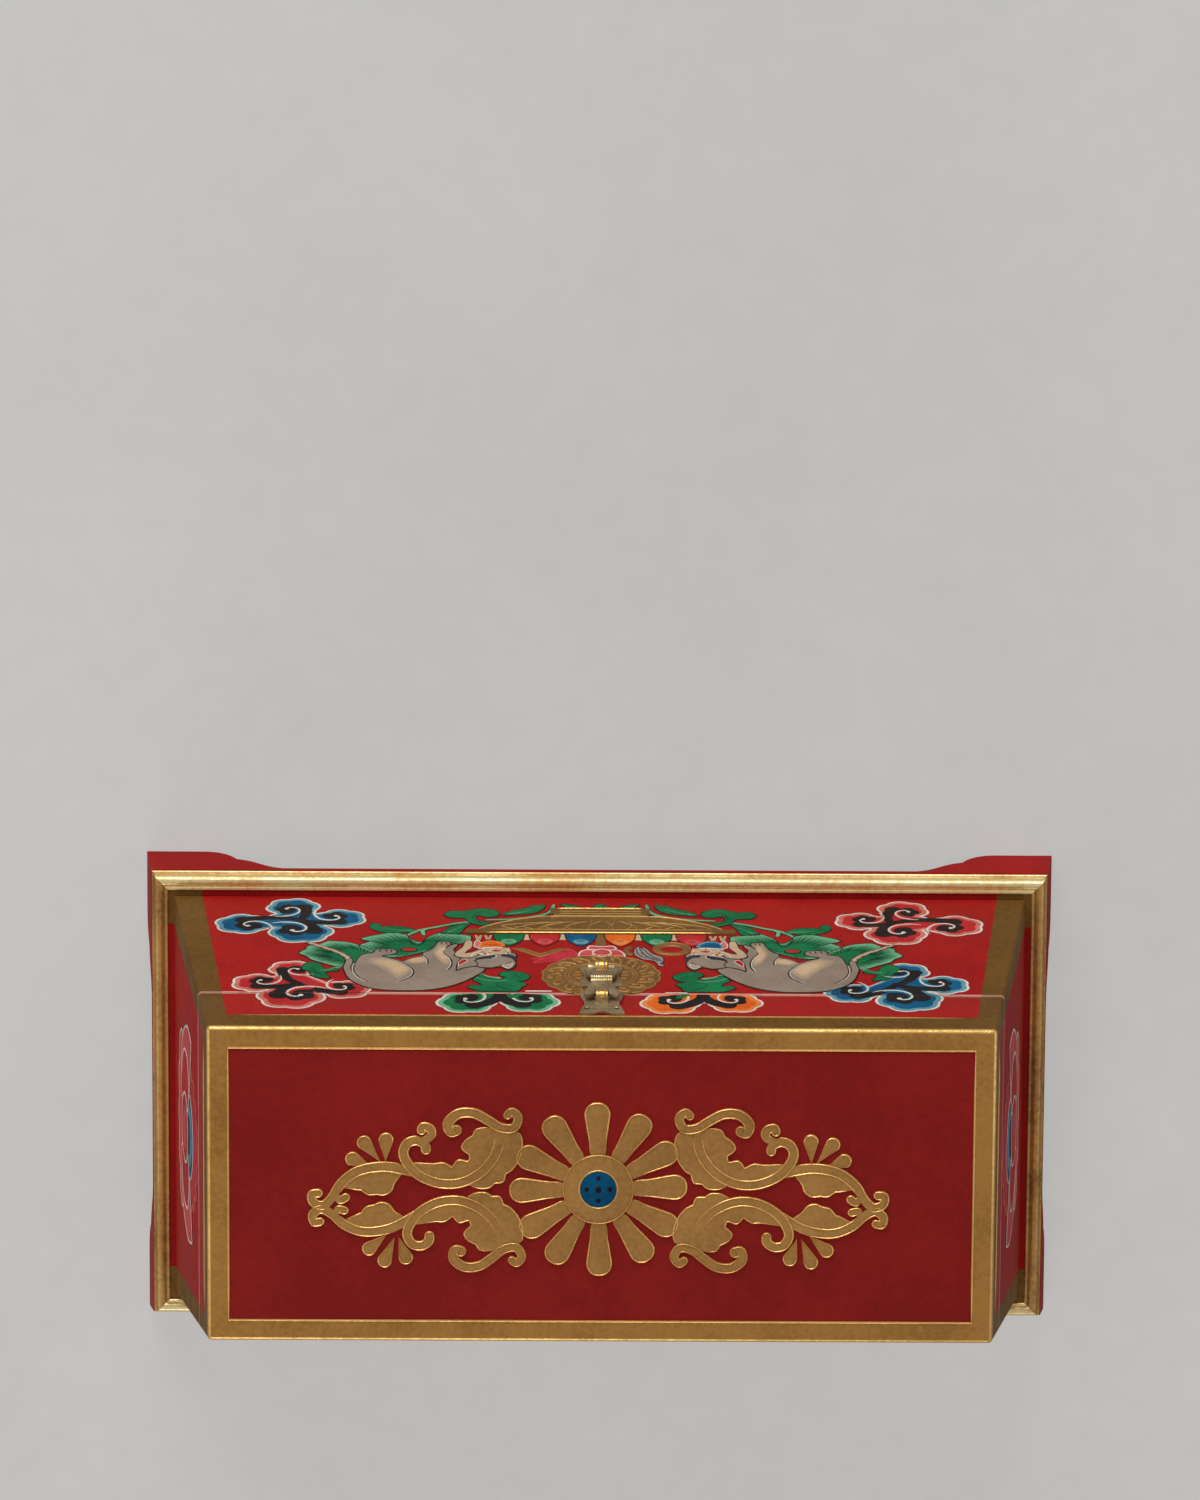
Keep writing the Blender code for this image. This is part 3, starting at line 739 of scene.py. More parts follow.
def softened(node: str, radius: float) -> Mesh:
    """Copy a node of the frame with its sharp edges rounded.

    Args:
        node: Name of the node.
        radius: Width of the rounding.

    Returns:
        A new bmesh of the softened piece.
    """
    bm = bmesh.new()
    bm.from_mesh(frame["nodes"][node].data)
    bmesh.ops.remove_doubles(bm, verts=bm.verts, dist=NODE_WELD)
    bmesh.ops.dissolve_limit(bm, angle_limit=NODE_FLAT, verts=bm.verts, edges=bm.edges)
    sharp = [edge for edge in bm.edges if edge.is_manifold and edge.calc_face_angle() > NODE_CREASE]
    rounded(bm, sharp, radius, clamp=True)
    return bm


@dataclass(frozen=True)
class CaseSizes:
    """Levels and half sizes of the case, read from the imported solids."""

    top: float
    lid_foot: float
    wall_top: float
    wall_foot: float
    plinth_top: float
    foot_half: Vector
    splay: float

    DRAWN_FOOT = 23.5

    @classmethod
    def measure(cls) -> "CaseSizes":
        """Read the sizes from the frame.

        Returns:
            The sizes.
        """
        panel_low, panel_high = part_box("lid_panel")
        wall_low, wall_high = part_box("wall_front")
        return cls(
            top=panel_high.z,
            lid_foot=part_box("lid_rim_front")[0].z,
            wall_top=wall_high.z,
            wall_foot=wall_low.z,
            plinth_top=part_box("plinth_front")[1].z,
            foot_half=Vector((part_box("wall_right")[1].x, -wall_low.y)),
            splay=(panel_low.y - wall_low.y) / (panel_low.z - wall_low.z),
        )

    @property
    def joint(self) -> float:
        """Height of the line between the lid and the walls."""
        return (self.lid_foot + self.wall_top) / 2

    def half(self, height: float) -> Vector:
        """Half the width and depth of the case at a height."""
        inward = self.splay * (height - self.wall_foot)
        return self.foot_half - Vector((inward, inward))

    def at_end(self, face: bmesh.types.BMFace) -> bool:
        """Whether a face lies beyond the mitres, at an end of the case."""
        middle = face.calc_center_median()
        return abs(middle.x) - self.foot_half.x > abs(middle.y) - self.foot_half.y

    def drawn(self, height: float) -> float:
        """A height in the drawings, in millimetres, where the walls start at DRAWN_FOOT."""
        return self.DRAWN_FOOT + (height - self.wall_foot) / MM

    def face(self, side: Side) -> Matrix:
        """Place of a face's drawing: millimetres across it, drawn heights up it and distances out of it.

        Args:
            side: The face.

        Returns:
            The matrix from the drawing to the frame.
        """
        if side is Side.TOP:
            return Matrix.Translation((0, 0, self.top)) @ Matrix.Scale(MM, 4)
        turn = Matrix.Rotation(AROUND.index(side) * math.pi / 2, 4, "Z")
        datum = self.wall_foot - self.DRAWN_FOOT * MM
        reach = self.half(datum)
        lean = math.atan(self.splay)
        across, up, out = (1, 0, 0), (0, self.splay, 1), (0, -math.cos(lean), math.sin(lean))
        axes = Matrix((across, up, out)).transposed().to_4x4()
        axes.translation = (0, -(reach.y if side.long else reach.x), datum)
        return turn @ axes @ Matrix.Scale(MM, 4)


@dataclass
class Case:
    """The painted walls and the lid, each one hollow piece with rounded arrises."""

    sizes: CaseSizes
    board: float = 0.010
    roof: float = 0.009
    corner: float = 0.0016
    rim_soften: float = 0.0005
    arris_slopes: tuple[float, float] = (0.25, 0.97)
    stile: float = 0.0079
    stile_growth: float = 0.0215
    frame_band: float = 0.0076
    rail: float = 0.0125

    def skin(self, low: float, high: float, inset: float, rounding: float, roofed: bool) -> Mesh:
        """One splayed skin, open below, and above unless it is roofed.

        Args:
            low: Its lower level.
            high: Its upper level.
            inset: How far it lies inside the outer faces.
            rounding: Radius along its arrises.
            roofed: Whether its top is closed.

        Returns:
            A new bmesh of the skin.
        """
        bm = bmesh.new()
        bmesh.ops.create_cube(bm, size=2.0)
        for vert in bm.verts:
            height = high if vert.co.z > 0 else low
            half = self.sizes.half(height)
            vert.co = (vert.co.x * (half.x - inset), vert.co.y * (half.y - inset), height)
        bm.normal_update()
        ends = [face for face in bm.faces if abs(face.normal.z) > 0.9 and not (roofed and face.normal.z > 0)]
        bmesh.ops.delete(bm, geom=ends, context="FACES_ONLY")
        rounded(bm, [edge for edge in bm.edges if not edge.is_boundary], rounding, segments=5)
        return bm

    def hollow(self, low: float, high: float, roofed: bool) -> Mesh:
        """Join an outer and an inner skin round their rims.

        Args:
            low: The lower level.
            high: The upper level.
            roofed: Whether the top is closed.

        Returns:
            A new bmesh whose finishes are outside, long boards, end boards and upper arrises.
        """
        outside, long_board, end_board, arris = range(4)
        bm = self.skin(low, high, 0.0, self.corner, roofed)
        inner = self.skin(low, high - (self.roof if roofed else 0.0), self.board, self.corner, roofed)
        bmesh.ops.reverse_faces(inner, faces=inner.faces)
        for face in inner.faces:
            face.material_index = long_board
        absorb(bm, inner)

        def level_with(edge: bmesh.types.BMEdge, level: float) -> bool:
            """Whether an edge lies at a level."""
            return all(abs(vert.co.z - level) < NEAR for vert in edge.verts)

        for level in (low,) if roofed else (low, high):
            rim = [edge for edge in bm.edges if edge.is_boundary and level_with(edge, level)]
            for face in bmesh.ops.bridge_loops(bm, edges=rim)["faces"]:
                face.material_index = long_board
        bmesh.ops.recalc_face_normals(bm, faces=bm.faces)
        steep, level_top = self.arris_slopes
        for face in bm.faces:
            if roofed and face.material_index == outside and steep < face.normal.z < level_top:
                face.material_index = arris
        lip = [edge for edge in bm.edges if level_with(edge, low if roofed else high)
               and len({face.material_index for face in edge.link_faces}) == 2]
        rounded(bm, lip, self.rim_soften)
        for face in bm.faces:
            if face.material_index == long_board and self.sizes.at_end(face):
                face.material_index = end_board
        return bm

    def finish(self, name: str, rail: float) -> CaseLacquer:
        """Choose the lacquer with gilt stiles, and on the lid a gilt rail and frame.

        Args:
            name: Name of the finish.
            rail: Depth of the gilt rail below the top.

        Returns:
            The finish.
        """
        half = self.sizes.half(self.sizes.top)
        bands = (("Top", self.sizes.top), ("Half Width", half.x), ("Half Depth", half.y),
                 ("Splay", self.sizes.splay), ("Stile", self.stile), ("Stile Growth", self.stile_growth),
                 ("Frame", self.frame_band), ("Rail", rail))
        return CaseLacquer(name, RED.light, RED.dark, RED.worn, GILT, GILT_SHADE, bands, self.sizes.joint)

    def build(self) -> None:
        """Make the walls and the lid."""
        sizes = self.sizes
        walls = self.hollow(sizes.wall_foot, sizes.wall_top, roofed=False)
        finishes = (self.finish("wall_lacquer", 0.0), INSIDE_WOOD, END_WOOD)
        dressed("painted_walls", walls, finishes, Body.CARCASS, Slot.LACQUER, around("wall_"))
        lid = self.hollow(sizes.lid_foot, sizes.top, roofed=True)
        # The lid's rounded upper arrises take the lighter gold: burnishing and painted highlight.
        finishes = (self.finish("lid_lacquer", self.rail), INSIDE_WOOD, END_WOOD, GILT_BRIGHT)
        dressed("painted_lid", lid, finishes, Body.LID, Slot.LACQUER, around("lid_rim_") + ["lid_panel"])

    def build_lines(self) -> None:
        """Raise the fine gilt lines along the edges of the lid's frame and rails."""
        sizes = self.sizes
        half = sizes.half(sizes.top) / MM
        band = self.frame_band / MM
        top = Ornament("lid_frame_line", sizes.face(Side.TOP))
        x, y = half.x - band, half.y - band
        corners = [(-x, -y, 1), (x, -y, 1), (x, y, 1), (-x, y, 1)]
        top.ridge(corners, GILT_BRIGHT, 0.42, height=0.42, closed=True)
        top.settle(Body.LID, Slot.GILDING)
        half = sizes.half(sizes.top - self.rail)
        level = sizes.drawn(sizes.top - self.rail)
        for side in AROUND:
            reach = ((half.x if side.long else half.y) - self.stile) / MM
            line = Ornament(side.value + "_rail_line", sizes.face(side))
            line.ridge(((-reach, level), (reach, level)), GILT_BRIGHT, 0.36, height=0.34)
            line.settle(Body.LID, Slot.GILDING)


@dataclass
class BaseMoulding:
    """The gilt torus moulding round the foot of the walls, mitred at its corners."""

    sizes: CaseSizes
    ledge_finish: Finish
    ledge: float = 0.0023
    ledge_sink: float = 0.0006
    inner_fillet: float = 0.0010
    torus: float = 0.0044
    outer_fillet: float = 0.0009
    outer_height: float = 0.0016
    seat: float = 0.0003
    soften: float = 0.00025
    round_turn: tuple[float, float] = (math.radians(140), math.radians(200))
    steps: int = 24
    smooth: float = 30.0

    def profile(self) -> list[tuple[float, float]]:
        """Draw the cross-section, from the wall outwards and back underneath.

        Returns:
            Its points, as how far out and how high.
        """
        top, bottom = self.sizes.wall_foot, self.sizes.plinth_top + self.seat
        step_z = self.sizes.plinth_top + self.outer_height
        crest = self.ledge + self.inner_fillet
        middle, half = crest + self.torus / 2, (top - step_z) / 2
        points = [(0.0, bottom), (0.0, top - self.ledge_sink), (self.ledge, top - self.ledge_sink),
                  (self.ledge, top - self.soften), (self.ledge + self.soften, top), (crest, top)]
        start, turn = self.round_turn
        for step in range(self.steps + 1):
            along = heading(start - turn * step / self.steps)
            points.append((middle + self.torus / 2 * along.x, step_z + half + half * along.y))
        reach = crest + self.torus + self.outer_fillet
        points += [(points[-1][0], step_z), (reach - self.soften, step_z), (reach, step_z - self.soften),
                   (reach, bottom)]
        return points

    def build(self) -> None:
        """Run the profile round the four sides."""
        half = self.sizes.foot_half
        section = self.profile()
        chains = [[Vector((x * (half.x + out), y * (half.y + out), height)) for out, height in section]
                  for x, y in ((-1, -1), (1, -1), (1, 1), (-1, 1))]
        ring = sweep(chains, ring=True, weld=NEAR)
        ledge_top = self.sizes.wall_foot - self.ledge_sink / 2
        for face in ring.faces:
            middle = face.calc_center_median()
            out = max(abs(middle.x) - half.x, abs(middle.y) - half.y)
            on_ledge = out < self.ledge and middle.z < ledge_top
            face.material_index = 1 if on_ledge else 2 if self.sizes.at_end(face) else 0
        # The long runs take a paler gold as painted highlight and the end runs a darker gold as painted
        # shade.
        finishes = (GILT_MOULDING_LIT, self.ledge_finish, GILT_MOULDING_SHADED)
        nodes = around("moulding_")
        dressed("base_moulding", ring, finishes, Body.CARCASS, Slot.GILDING, nodes, self.smooth)


@dataclass
class Plinth:
    """The red plinth on cusped bracket feet."""

    sizes: CaseSizes
    board: float = 0.012
    step_out: float = 0.0089
    apron: float = 0.0026
    foot_flat: float = 0.022
    toe: float = 0.013
    cusp: float = 0.0085
    toe_turn: float = math.radians(65)
    ogee: float = 0.018
    swing: float = 0.46
    soften: float = 0.0006
    slack: float = 0.00001
    steps: int = 14

    def out(self, height: float) -> float:
        """How far the plinth's face lies outside the foot of the walls at a height."""
        return self.step_out + self.sizes.splay * (self.sizes.plinth_top - height)

    def bracket(self, half_floor: float) -> list[tuple[float, float]]:
        """Draw the lower edge of one half of a board.

        Args:
            half_floor: Half the board's run on the floor.

        Returns:
            Its points from the foot in to the apron, as how far along and how high.
        """
        flat_end = half_floor - self.foot_flat
        apron_z = self.sizes.plinth_top - self.apron
        edge = [(flat_end, 0.0)]
        for step in range(1, self.steps + 1):
            turn = self.toe_turn * step / self.steps
            rise = self.cusp * (1 - math.cos(turn)) / (1 - math.cos(self.toe_turn))
            edge.append((flat_end - self.toe * math.sin(turn) / math.sin(self.toe_turn), rise))
        for step in range(1, self.steps + 1):
            along = step / self.steps
            rise = along - self.swing * math.sin(math.tau * along) / math.tau
            edge.append((flat_end - self.toe - self.ogee * along, self.cusp + (apron_z - self.cusp) * rise))
        return edge

    def side(self, half_run: float, offset: float, turn: float) -> Mesh:
        """One board, open at its mitres.

        Args:
            half_run: Half its run at the foot of the walls.
            offset: How far it lies from the middle there.
            turn: Its turn about the upright axis.

        Returns:
            A new bmesh of the board.
        """
        half_floor = half_run + self.out(0.0)
        right = self.bracket(half_floor)
        top = self.sizes.plinth_top
        outline = [Vector((-x, z)) for x, z in right] + [Vector((x, z)) for x, z in reversed(right)]
        outline += [Vector((half_floor, 0)), Vector((half_floor, top)), Vector((-half_floor, top))]
        outline += [Vector((-half_floor, 0))]
        bm = raised_panel(outline, 0.0, self.board, 0.0)
        almost = half_floor - self.slack
        ended = {vert for vert in bm.verts if abs(vert.co.x) > almost}
        mitres = [face for face in bm.faces
                  if ended.issuperset(face.verts) and abs(face.calc_center_median().x) > almost]
        bmesh.ops.delete(bm, geom=mitres, context="FACES_ONLY")
        arris = [edge for edge in bm.edges if not edge.is_boundary and not ended.issuperset(edge.verts)
                 and all(vert.co.z > self.board / 2 and vert.co.y < top - self.slack for vert in edge.verts)]
        rounded(bm, arris, self.soften, clamp=True)
        for vert in bm.verts:
            run, height, depth = vert.co
            out = self.out(height) - (self.board - depth)
            if abs(run) > almost:
                run = math.copysign(half_run + out, run)
            vert.co = (run, -offset - out, height)
        bmesh.ops.rotate(bm, verts=bm.verts, matrix=Matrix.Rotation(turn, 3, "Z"))
        return bm

    def build(self) -> None:
        """Join the four boards at their mitres."""
        half = self.sizes.foot_half
        ring = bmesh.new()
        for quarter in range(4):
            run, offset = (half.x, half.y) if quarter % 2 == 0 else (half.y, half.x)
            absorb(ring, self.side(run, offset, quarter * math.pi / 2))
        bmesh.ops.remove_doubles(ring, verts=ring.verts, dist=self.slack)
        bmesh.ops.recalc_face_normals(ring, faces=ring.faces)
        dressed("bracket_plinth", ring, (RED,), Body.CARCASS, Slot.LACQUER, around("plinth_"))


# Ornament


@dataclass
class Ornament:
    """Raised or painted work on one face, built up in thin layers.

    Its place goes from the drawing's millimetres to the frame, and its lift is how high its lowest layer is.
    Where it is mirrored, left and right change places.
    """

    name: str
    place: Matrix
    lift: float = 0.0
    mirrored: bool = False
    mesh: Mesh = field(default_factory=bmesh.new)
    finishes: list[Finish] = field(default_factory=list)

    STEP = 0.045
    SUNK = 0.06

    def keep(self, made: Mesh, finish: Finish) -> None:
        """Add a small mesh.

        Args:
            made: The mesh, which is used up.
            finish: Its finish.
        """
        if finish not in self.finishes:
            self.finishes.append(finish)
        for face in made.faces:
            face.material_index = self.finishes.index(finish)
        absorb(self.mesh, made)

    def turned(self, line: Iterable[Point]) -> list[Vector]:
        """A drawn line, changed over where the piece is mirrored."""
        way = -1 if self.mirrored else 1
        return [Vector((way * point[0], point[1])) for point in line]

    def sheet(self, outline: Path, finish: Finish, level: float = 1.0,
              height: Optional[float] = None, soften: float = 0.0) -> None:
        """Lay a filled shape.

        Args:
            outline: Points round it.
            finish: Its finish.
            level: Its layer, counted up from the face.
            height: Height above the face, where it isn't given by the layer.
            soften: Rounding of its upper edge.
        """
        top = self.lift + self.STEP * level if height is None else height
        self.keep(raised_panel(self.turned(outline), -self.SUNK, top + self.SUNK, soften), finish)

    def shape(self, points: Path, finish: Finish, level: float = 1.0, **how: float) -> None:
        """Lay a filled shape with a flowing outline."""
        self.sheet(flowing(points), finish, level, **how)

    def trail(self, line: Line, finish: Finish, width: float, level: float = 1.0,
              height: Optional[float] = None, closed: bool = False, tip: float = 1.0) -> None:
        """Lay a line of paint or a gilt ridge.

        Args:
            line: Points along it.
            finish: Its finish.
            width: Half its width.
            level: The layer that it lies on.
            height: Height above the face, where it isn't given by the layer.
            closed: Whether it returns to its start.
            tip: Share of its width that is left at its far end.
        """
        if len(line) == 2:
            line = [line[0], line[0].lerp(line[1], 0.5), line[1]]
        count = len(line)
        widths = []
        for place in range(count):
            share = place / max(1, count - 1)
            ends = 1.0 if closed else min(1.0, math.sqrt(max(0.0, 8 * min(share, 1 - share))) + 0.02)
            widths.append(width * (1 + (tip - 1) * share) * ends)
        base = self.lift + self.STEP * (level - 2) if height is None else -self.SUNK
        rise = 2.6 * self.STEP if height is None else height + self.SUNK
        self.keep(raised_ridge(self.turned(line), widths, base, rise, closed), finish)

    def ridge(self, points: Path, finish: Finish, width: float, level: float = 1.0, closed: bool = False,
              **how: float) -> None:
        """Lay a line that flows through points."""
        self.trail(flowing(points, closed), finish, width, level, closed=closed, **how)

    def ridges(self, lines: Iterable[Path], finish: Finish, width: float, level: float,
               tip: float = 1.0) -> None:
        """Lay several lines alike."""
        for points in lines:
            self.ridge(points, finish, width, level, tip=tip)

    def outlined(self, points: Path, fill: Finish, edge: Finish, width: float, level: float = 1.0) -> None:
        """Lay a filled shape with a line round it."""
        self.shape(points, fill, level)
        self.ridge(points, edge, width, level + 1, closed=True)

    def settle(self, body: Body, slot: Optional[Slot] = None) -> None:
        """Put the finished ornament on the face, riding on a body."""
        bmesh.ops.transform(self.mesh, matrix=self.place, verts=self.mesh.verts)
        dressed(self.name, self.mesh, self.finishes, body, slot)

    def settle_across(self, joint: float, gap: float, slot: Optional[Slot] = None,
                      bodies: Sequence[Body] = (Body.LID, Body.CARCASS)) -> None:
        """Cut the ornament at the joint and put each part on its own body.

        Args:
            joint: Height of the joint, in the drawing's millimetres.
            gap: Opening left between the two parts.
            slot: The record's slot, handed on to each part.
            bodies: The parts that are kept.
        """
        for body in bodies:
            way = 1 if body is Body.LID else -1
            half = self.mesh.copy()
            geom = [*half.verts, *half.edges, *half.faces]
            cut = bmesh.ops.bisect_plane(half, geom=geom, plane_co=(0, joint + way * gap / 2, 0),
                                         plane_no=(0, way, 0), clear_inner=True)["geom_cut"]
            edges = [item for item in cut if isinstance(item, bmesh.types.BMEdge)]
            bmesh.ops.holes_fill(half, edges=edges, sides=0)
            part = Ornament(f"{self.name}_{body.value}", self.place, mesh=half, finishes=self.finishes)
            part.settle(body, slot)
        self.mesh.free()


def scaled(line: Iterable[Point], about: Point, share: float) -> list[Vector]:
    """A line drawn in or out towards a point."""
    middle = Vector(about[:2])
    return [middle + (Vector(point[:2]) - middle) * share for point in line]


def inside(point: Vector, outline: Line) -> bool:
    """Tell whether a point lies within an outline.

    Args:
        point: The point.
        outline: Points round the outline.

    Returns:
        True where a level line from the point crosses the outline an odd number of times.
    """
    crossings = 0
    for first, second in zip(outline, [*outline[1:], outline[0]]):
        if (first.y > point.y) != (second.y > point.y):
            share = (point.y - first.y) / (second.y - first.y)
            crossings += point.x < first.x + share * (second.x - first.x)
    return crossings % 2 == 1


def open_runs(outline: list[Vector], covers: Sequence[Line]) -> list[list[Vector]]:
    """Find the parts of an outline that no other shape covers.

    Args:
        outline: Points round the shape.
        covers: Points round each of the shapes that lie over it.

    Returns:
        The outline itself where nothing covers it, or else its open parts.
    """
    dense = [first.lerp(second, share) for first, second in zip(outline, [*outline[1:], outline[0]])
             for share in (0.0, 0.5)]
    hidden = [any(inside(point, cover) for cover in covers) for point in dense]
    if not any(hidden):
        return [outline]
    start = hidden.index(True)
    runs: list[list[Vector]] = [[]]
    for place in [*range(start, len(dense)), *range(start)]:
        if not hidden[place]:
            runs[-1].append(dense[place])
        elif runs[-1]:
            runs.append([])
    return [run for run in runs if len(run) > 3]


@dataclass
class LidRosette:
    """The gilt rosette on the lid between four acanthus scrolls."""

    sizes: CaseSizes
    middle: tuple[float, float] = (1.0, 1.2)
    petal_from: float = 12.2
    petal_to: float = 31.8
    ring: float = 12.6
    disc: float = 6.6
    thick: float = 0.5
    line: float = 0.33
    line_height: float = 0.76
    overlap: float = 0.03
    seat: float = 0.0025
    soften: float = 0.2
    drop_radius: float = 2.35
    dot: float = 0.85
    dot_ring: float = 4.2

    PETAL_HALVES = ((0, 2.3), (0.3, 3), (0.6, 3.9), (0.8, 4.35), (0.92, 3.5), (0.985, 1.9))
    PETAL_TURNS = (1, 30, 58, 91, 125, 152, 182, 209, 238, 271, 305, 335)
    PIVOT = (35.0, 12.0)
    SWING = math.radians(-7.0)
    SPREAD = 1.03
    ELBOW = (66.0, 10.0)
    BEND = math.radians(-10.0)
    CURL_ARCH = (
        (31.1, 26.4), (29.3, 27.4), (27.5, 25), (29.6, 21.7), (34.1, 22.4), (38.1, 25.5), (42.8, 28.6),
        (48.1, 29), (52, 26.2), (51.6, 23), (49.5, 23.2),
    )
    MAIN_STEM = (
        (34.9, 21.7), (35.1, 17.5), (37.5, 12.2), (42.8, 7.2), (50.1, 4.4), (57.5, 5), (64.1, 8.5),
        (67.8, 13.2), (68.9, 17.2), (67.1, 20.5), (63.8, 21.2), (61.1, 19.5), (60.9, 17.5),
    )
    OUTER_STEM = (
        (62, 7.4), (70.1, 12.5), (76.8, 15.3), (84.8, 16), (91.5, 13.5), (96.1, 9.5), (100, 7.8),
        (102.9, 9.8), (102.5, 12.6), (100.3, 12.4),
    )
    FORK_CURL = ((65, 21.2), (60.8, 21), (58.3, 22.6), (58.6, 24.9), (60.8, 25.8), (61.6, 24.6))
    END_CURL = ((92.6, 12.7), (94.6, 10.4), (93.8, 7.9), (91.6, 8.2))
    INNER_LEAF = (
        (33.1, 20.4), (28.1, 19.8), (27.2, 15.8), (28.7, 10.8), (31.5, 7.2), (34.3, 5.7, 1), (35.5, 3),
        (38.5, 2.8, 1), (40.8, 1.4), (44.8, 1.8), (47.5, 4.2), (41, 8.2), (36.6, 13.5),
    )
    MIDDLE_LEAF = (
        (36.4, 22.2), (42.1, 22.8), (44, 20.6, 1), (46.9, 19), (48.3, 16.5), (45.8, 13.8, 1), (46.7, 11.7),
        (50.1, 12.5), (52.5, 10.1, 1), (55.5, 12.1), (59.1, 12.2), (66.8, 13.2), (64, 9.2), (58.8, 6),
        (51.5, 5.2), (45, 6.8), (39.6, 11), (36.6, 16.5),
    )
    OUTER_LEAF = (
        (70.3, 10.9), (73.5, 8.5), (75.5, 6), (78.3, 5.2), (80.9, 6.2, 1), (83.6, 6.9), (85.5, 9.2, 1),
        (88.3, 10.4), (92.2, 12.8), (85.5, 15.2), (78, 14.5), (73, 12.8),
    )
    DROPS = (((71.8, 18.4), (69.4, 25.6)), ((73.5, 18.4), (77, 26.8)), ((76.5, 17.2), (82.6, 22.4)))
    DROP_SHIFT = Vector((2.6, -1.7))

    def gilt(self, work: Ornament, shapes: Sequence[tuple[list[Vector], int]]) -> None:
        """Lay raised gilt shapes, each with a bright bead along the part of its edge that shows.

        Args:
            work: The ornament that they belong to.
            shapes: Points round each, and its rank: it goes under higher ranks and runs into its equals.
        """
        for place, (outline, rank) in enumerate(shapes):
            rise = self.overlap * rank + self.seat * place
            work.sheet(outline, GILT, height=self.thick + rise, soften=self.soften)
            covers = [other for other, above in shapes if above >= rank and other is not outline]
            crest = self.line_height + rise
            for run in open_runs(outline, covers):
                work.trail(run, GILT_BRIGHT, self.line, height=crest, closed=run is outline)

    def band(self, line: Line, wide: float, tip: float) -> list[Vector]:
        """Outline of a band along a line, round at both ends.

        Args:
            line: Its middle line.
            wide: Half its width at its start.
            tip: Half its width at its end.

        Returns:
            The points round the band.
        """
        left, right = ribbon(line, wide, tip)
        caps = []
        for point, neighbour, reach in ((line[-1], line[-2], tip), (line[0], line[1], wide)):
            out = (point - neighbour).normalized() * reach
            turns = (heading(math.radians(angle)) for angle in (30, 60, 90, 120, 150))
            caps.append([point + out.orthogonal() * turn.x + out * turn.y for turn in turns])
        return left + caps[0] + right[::-1] + caps[1]

    def drop(self, tip: Point, end: Point) -> list[Vector]:
        """Outline of a teardrop.

        Args:
            tip: Its sharp tip.
            end: Middle of its round end.

        Returns:
            The points round the drop.
        """
        start, middle = Vector(tip), Vector(end)
        along = (middle - start).normalized() * self.drop_radius
        turns = (heading(math.radians(-15 + 21 * step)) for step in range(10, -1, -1))
        return [start] + [middle + along.orthogonal() * turn.x + along * turn.y for turn in turns]

    def petal(self, turn: float) -> list[Vector]:
        """Outline of one club-shaped petal.

        Args:
            turn: The way that it points, in radians.

        Returns:
            The points round the petal.
        """
        length = self.petal_to - self.petal_from
        side = [(self.petal_from + share * length, half) for share, half in self.PETAL_HALVES]
        points = [(out, -half) for out, half in side] + [(self.petal_to, 0)] + side[::-1]
        return [Matrix.Rotation(turn, 2) @ point for point in flowing(points, steps=4)]

    def build(self) -> None:
        """Make the rosette and mirror one scroll into the four quarters."""
        place = self.sizes.face(Side.TOP) @ Matrix.Translation((*self.middle, 0))
        rosette = Ornament("lid_rosette", place)
        petals = [(self.petal(math.radians(turn)), rank % 3) for rank, turn in enumerate(self.PETAL_TURNS)]
        self.gilt(rosette, petals + [(ellipse((0, 0), (self.ring, self.ring), 64), 4)])
        bead = ellipse((0, 0), (self.disc + 0.35, self.disc + 0.35), 64)
        rosette.trail(bead, GILT_BRIGHT, self.line, height=self.line_height + 0.1, closed=True)
        rosette.sheet(ellipse((0, 0), (self.disc, self.disc), 48), BLUE, height=self.thick + 0.18)
        spots = [((0, 0), 1.15, 20)]
        spots += [(self.dot_ring * heading(quarter * math.pi / 2), self.dot, 16) for quarter in range(4)]
        for spot, radius, count in spots:
            rosette.sheet(ellipse(spot, (radius, radius), count), INK, height=self.thick + 0.24)
        rosette.settle(Body.LID, Slot.GILDING)
        for depth, along in (("back", 1), ("front", -1)):
            for side, across in (("right", 1), ("left", -1)):
                self.scroll(f"{side}_{depth}", place, across, along)

    def scroll(self, name: str, place: Matrix, across: int, along: int) -> None:
        """Make one scroll, drawn in the back right quarter and turned over into its own.

        Args:
            name: Its quarter.
            place: Place of the rosette.
            across: Minus one where left and right change places.
            along: Minus one where back and front change places.
        """
        turned = place @ Matrix.Diagonal((across, along, 1, 1))
        outer = Matrix.Identity(4)
        shift = Vector((0.0, 0.0))
        stems = [(self.END_CURL, 1.1, 1.3, 2), (self.OUTER_STEM, 1.7, 1.3, 2),
                 (self.MAIN_STEM, 1.55, 1.5, 3), (self.CURL_ARCH, 1.25, 1.7, 4)]
        if along < 0:
            elbow = Matrix.Translation((*self.ELBOW, 0))
            outer = elbow @ Matrix.Rotation(self.BEND, 4, "Z") @ elbow.inverted()
            pivot = Vector((*self.PIVOT, 0))
            swing = Matrix.Rotation(self.SWING, 4, "Z") @ Matrix.Diagonal((self.SPREAD, self.SPREAD, 1, 1))
            turned = turned @ Matrix.Translation(pivot) @ swing @ Matrix.Translation(-pivot)
            stems.append((self.FORK_CURL, 1.3, 1.4, 3))
            shift = self.DROP_SHIFT
        work = Ornament("lid_scroll_" + name, turned)
        shapes = [(flowing(self.INNER_LEAF), 0), (flowing(self.MIDDLE_LEAF), 2)]
        bent = [(flowing(self.OUTER_LEAF), 0)]
        bent += [([point + shift for point in self.drop(tip, end)], 0) for tip, end in self.DROPS]
        for stem, wide, tip, rank in stems:
